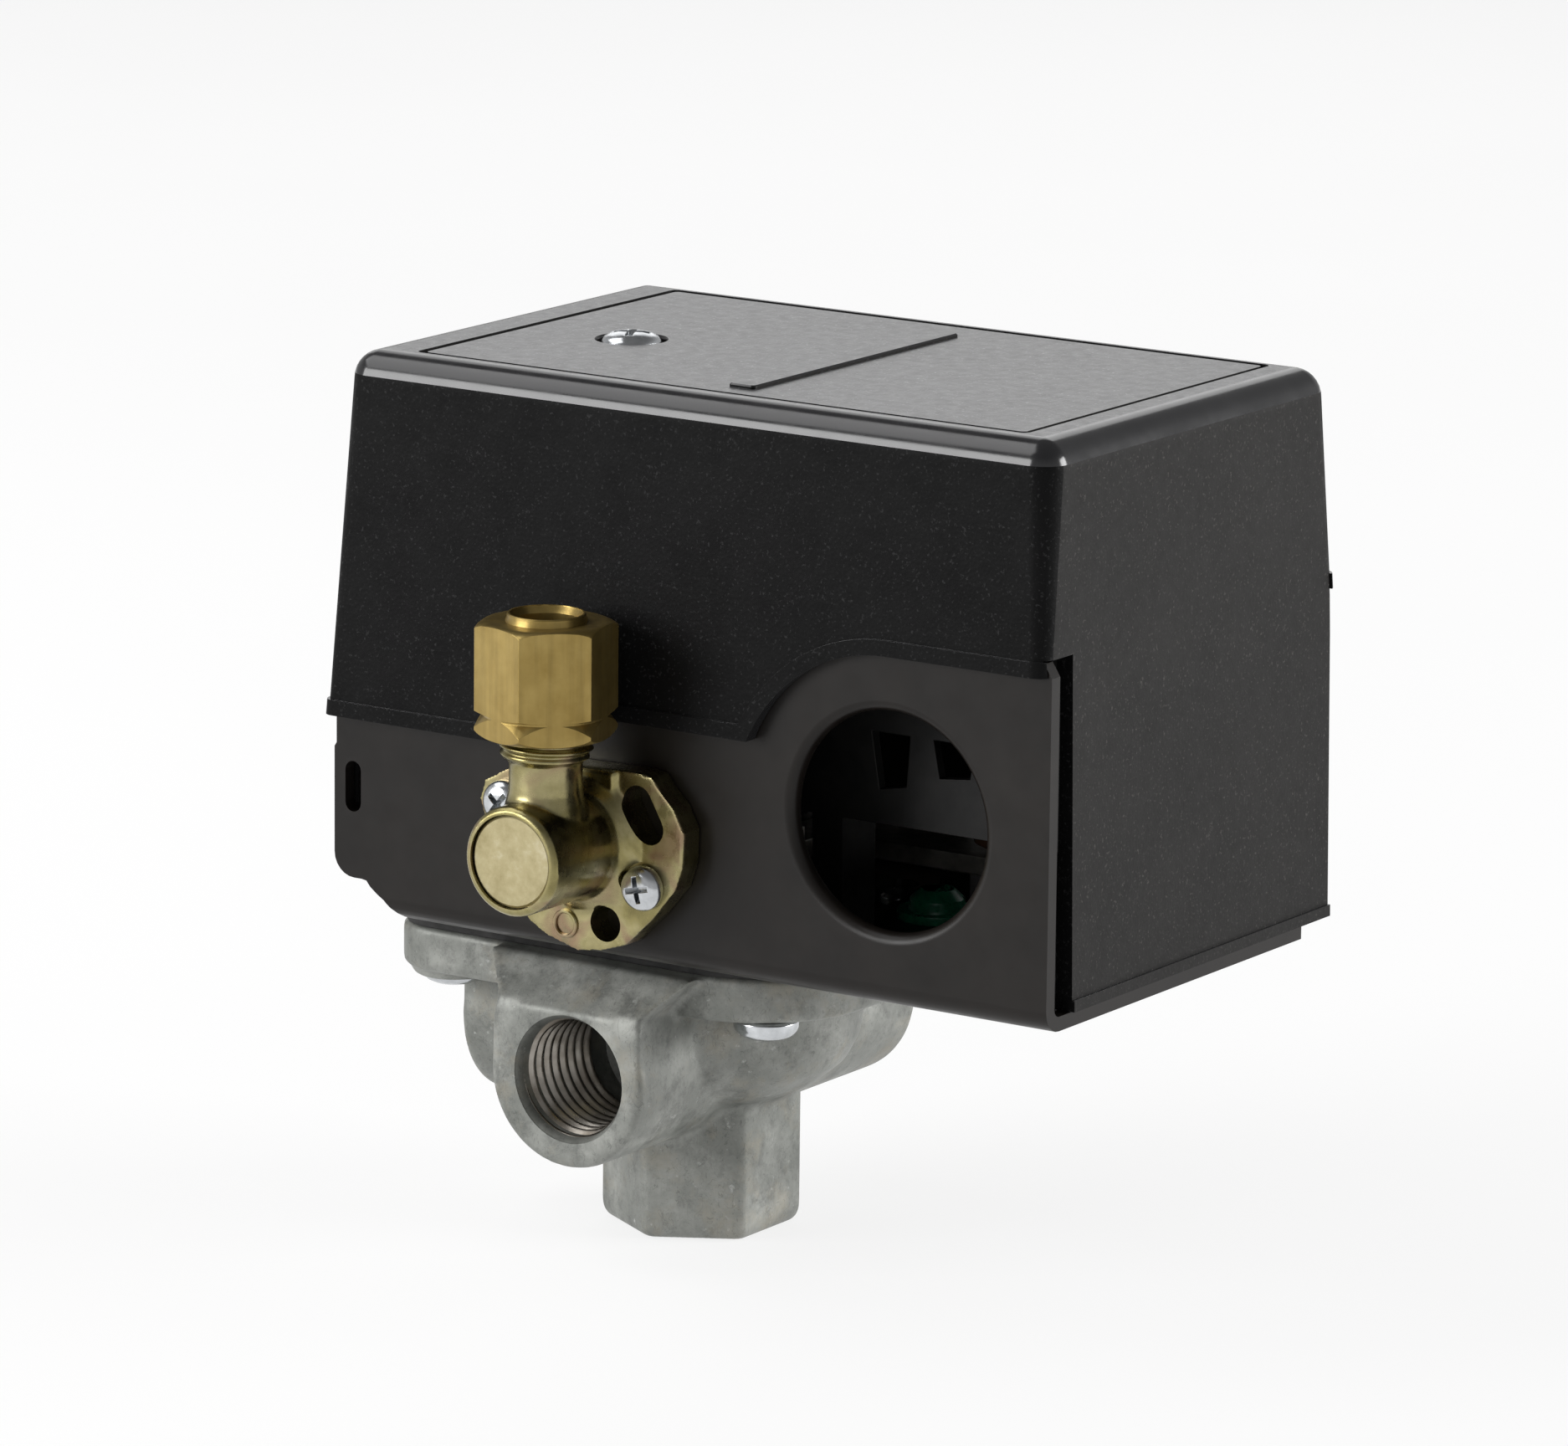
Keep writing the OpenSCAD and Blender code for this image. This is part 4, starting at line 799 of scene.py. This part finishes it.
def range_spring():
    """Closed and ground coil in two halves, the upper end at its screwed seat and the lower at the lever."""
    low, high = [[v / MM for v in corner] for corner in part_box("range_spring")]
    wire, turns, per_turn, sides = 2.0, 5.5, 28, 14
    z0, z1 = low[2], high[2]
    cx, cy, r = (low[0] + high[0]) / 2, (low[1] + high[1]) / 2, (high[0] - low[0] - wire) / 2
    start, rise = z0 + 0.3 * wire, z1 - z0 - 0.6 * wire
    closed = 1.03 * wire
    open_pitch = (rise - 2 * closed) / (turns - 2)

    def ring(t):
        """The wire's section after t turns."""
        z = (start + closed * min(t, 1) + open_pitch * min(max(t - 1, 0), turns - 2)
             + closed * max(t - turns + 1, 0))
        c, s = math.cos(2 * math.pi * t), math.sin(2 * math.pi * t)
        return [(cx + (r + u) * c, cy + (r + u) * s, z + v) for u, v in circle(wire / 2, sides)]

    steps = int(turns * per_turn)
    for name, first, last, body, end in (("range_spring_foot", 0, steps // 2, "lever", z0),
                                         ("range_spring_head", steps // 2, steps, "spring_seat", z1)):
        obj = make(name, loft([ring(turns * k / steps) for k in range(first, last + 1)]))
        carve(obj, block(cx - 9, cx + 9, cy - 9, cy + 9, z0, z1), "INTERSECT")
        place(baked(shade(obj, 50)), None, "spring_steel", [SPRING], "range_spring")
        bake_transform(obj)


range_spring()


# ---------------------------------------------------------------- inner CAD pieces: worn edges

# round wire, and the nodes that a piece of this scene stands for
LEFT_AS_BUILT = {"port_manifold", "cover", "base_frame", "unloader_body", "valve_cap", "compression_nut",
                 "range_spring", "contact_springs", "valve_spring", "manifold_screws", "unloader_screws",
                 "cover_screw"}
for name, node in NODES.items():
    if name not in LEFT_AS_BUILT:
        node.modifiers.new("weld", "WELD").merge_threshold = 1e-6
        flat = node.modifiers.new("flat", "DECIMATE")
        flat.decimate_type, flat.angle_limit = "DISSOLVE", math.radians(1)
        soften(node, 0.12, 34)


# ---------------------------------------------------------------- screws

def recess_bar(size, depth, h, turn):
    """One bar of a tapered cross, sunk in a head of height h."""
    c, s = math.cos(math.radians(turn)), math.sin(math.radians(turn))
    rings = []
    for z, k in ((h - depth, 0.35), (h - depth * 0.35, 0.85), (h + 0.3, 1.1)):
        x1, y1 = size * k, size * 0.2 * (0.65 + 0.35 * k)
        corners = ((-x1, -y1), (x1, -y1), (x1, y1), (-x1, y1))
        rings.append([(x * c - y * s, x * s + y * c, z) for x, y in corners])
    return loft(rings)


def screws(name, body, points, r, h, shank_r, shank_len, first_turn, node):
    """Pan-head screws at (place, direction of the head) pairs, as one piece, each turned a little further."""
    parts = bmesh.new()
    for n, (spot, up) in enumerate(points):
        head = make("head", turned([(0, 0), (r * 0.93, 0), (r, h * 0.12), (r, h * 0.4),
                                    (r * 0.965, h * 0.58), (r * 0.86, h * 0.78), (r * 0.66, h * 0.93),
                                    (r * 0.4, h), (0, h)], segments=48))
        for arm in (0, 90):
            carve(head, recess_bar(r * 0.6, h * 0.75, h, arm))
        shank = make("shank", turned([(0, 0.1), (shank_r, 0.1), (shank_r, -shank_len + 0.4),
                                      (shank_r - 0.4, -shank_len), (0, -shank_len)], segments=32))
        aim = Vector((0, 0, 1)).rotation_difference(Vector(up)).to_matrix().to_4x4()
        turn = Matrix.Rotation(math.radians(first_turn + 37 * n), 4, "Z")
        for o in (head, shank):
            o.data.transform(Matrix.Translation(Vector(spot) * MM) @ aim @ turn)
            parts.from_mesh(o.data)
            bpy.data.objects.remove(o)
    obj = make(name, parts, 1.0)
    soften(obj, 0.08, 40)
    place(shade(obj, 40), body, "zinc_plate", [BRIGHT], node)


screws("flange_screw_set", "housing", [((x, y, FLANGE_Z), (0, 0, -1)) for x, y in FLANGE_HOLES],
       3.4, 2.2, 2.05, 8.4, 20, "manifold_screws")
screws("valve_screw_set", "housing", [((x, PLATE_Y, z), (0, -1, 0)) for x, z in VALVE_HOLES],
       2.35, 1.8, 1.5, 6.1, 12, "unloader_screws")
screws("cover_screw_head", "cover_screw", [((SCREW_X, SCREW_Y, HEAD_Z), (0, 0, 1))],
       3.25, 2.4, 1.95, 10.9, 25, "cover_screw")


# ---------------------------------------------------------------- stage, light and camera

def soft_box(name, spot, size, power):
    """Area light aimed at the middle of the part; places in metres."""
    light = bpy.data.lights.new(name, "AREA")
    light.shape, light.size, light.size_y, light.energy = "RECTANGLE", size[0], size[1], power
    obj = bpy.data.objects.new(name, light)
    obj.location = spot
    obj.rotation_euler = (Vector((0.012, 0, 0.05)) - Vector(spot)).to_track_quat("-Z", "Y").to_euler()
    scene.collection.objects.link(obj)


def stage():
    """Pale floor that glows a little, a grey sky that darkens upwards, and four soft boxes."""
    bm = bmesh.new()
    bmesh.ops.create_grid(bm, x_segments=2, y_segments=2, size=3000)
    floor = make("floor", bm)
    k = Look("floor_paper", specular=0.2)
    k.bsdf.inputs["Emission Color"].default_value = (1, 1, 1, 1)
    k.bsdf.inputs["Emission Strength"].default_value = 0.78
    floor.data.materials.append(k.done(k.cloud(300, 3, (0.3, 0.17), (0.7, 0.19)), 0.8))

    world = bpy.data.worlds.new("studio")
    world.use_nodes = True
    nodes, links = world.node_tree.nodes, world.node_tree.links
    where = nodes.new("ShaderNodeTexCoord")
    axes = nodes.new("ShaderNodeSeparateXYZ")
    sky = nodes.new("ShaderNodeValToRGB")
    stops = sky.color_ramp.elements
    stops.new(0.5)
    for stop, (height, value) in zip(stops, ((0.0, 1.0), (0.3, 1.0), (0.7, 0.35))):
        stop.position, stop.color = height, (value, value, value, 1)
    links.new(where.outputs["Generated"], axes.inputs["Vector"])
    links.new(axes.outputs["Z"], sky.inputs["Fac"])
    links.new(sky.outputs["Color"], nodes["Background"].inputs["Color"])
    nodes["Background"].inputs["Strength"].default_value = 0.5
    scene.world = world

    soft_box("key", (-0.6, -0.8, 0.36), (0.6, 0.55), 9)
    soft_box("over", (-0.6, -0.24, 0.9), (0.8, 0.6), 4)
    soft_box("behind", (-0.5, 0.72, 0.5), (0.7, 0.5), 1.2)
    soft_box("right", (0.85, 0.5, 0.28), (0.5, 0.5), 10)


def camera():
    """Long lens at the photograph's angle: direction to the camera, its turn about z, roll and distance."""
    back, heading, roll, distance = Vector((0.54243, -0.81119, 0.21848)).normalized(), 33.77, 0.63, 922.04
    aimed_at = Vector((11.72, -2.75, 55.56))
    data = bpy.data.cameras.new("camera")
    data.lens, data.sensor_width, data.clip_start = 205.0, 36.0, 0.01
    obj = bpy.data.objects.new("camera", data)
    scene.collection.objects.link(obj)
    flat = Vector((math.cos(math.radians(heading)), math.sin(math.radians(heading)), 0))
    lift = back.cross(flat)
    c, s = math.cos(math.radians(roll)), math.sin(math.radians(roll))
    right, up = flat * c + lift * s, lift * c - flat * s
    spot = (aimed_at + back * distance) * MM
    obj.matrix_world = Matrix([(right[i], up[i], back[i], spot[i]) for i in range(3)] + [(0, 0, 0, 1)])
    scene.camera = obj


stage()
camera()
scene.view_settings.view_transform = "Standard"
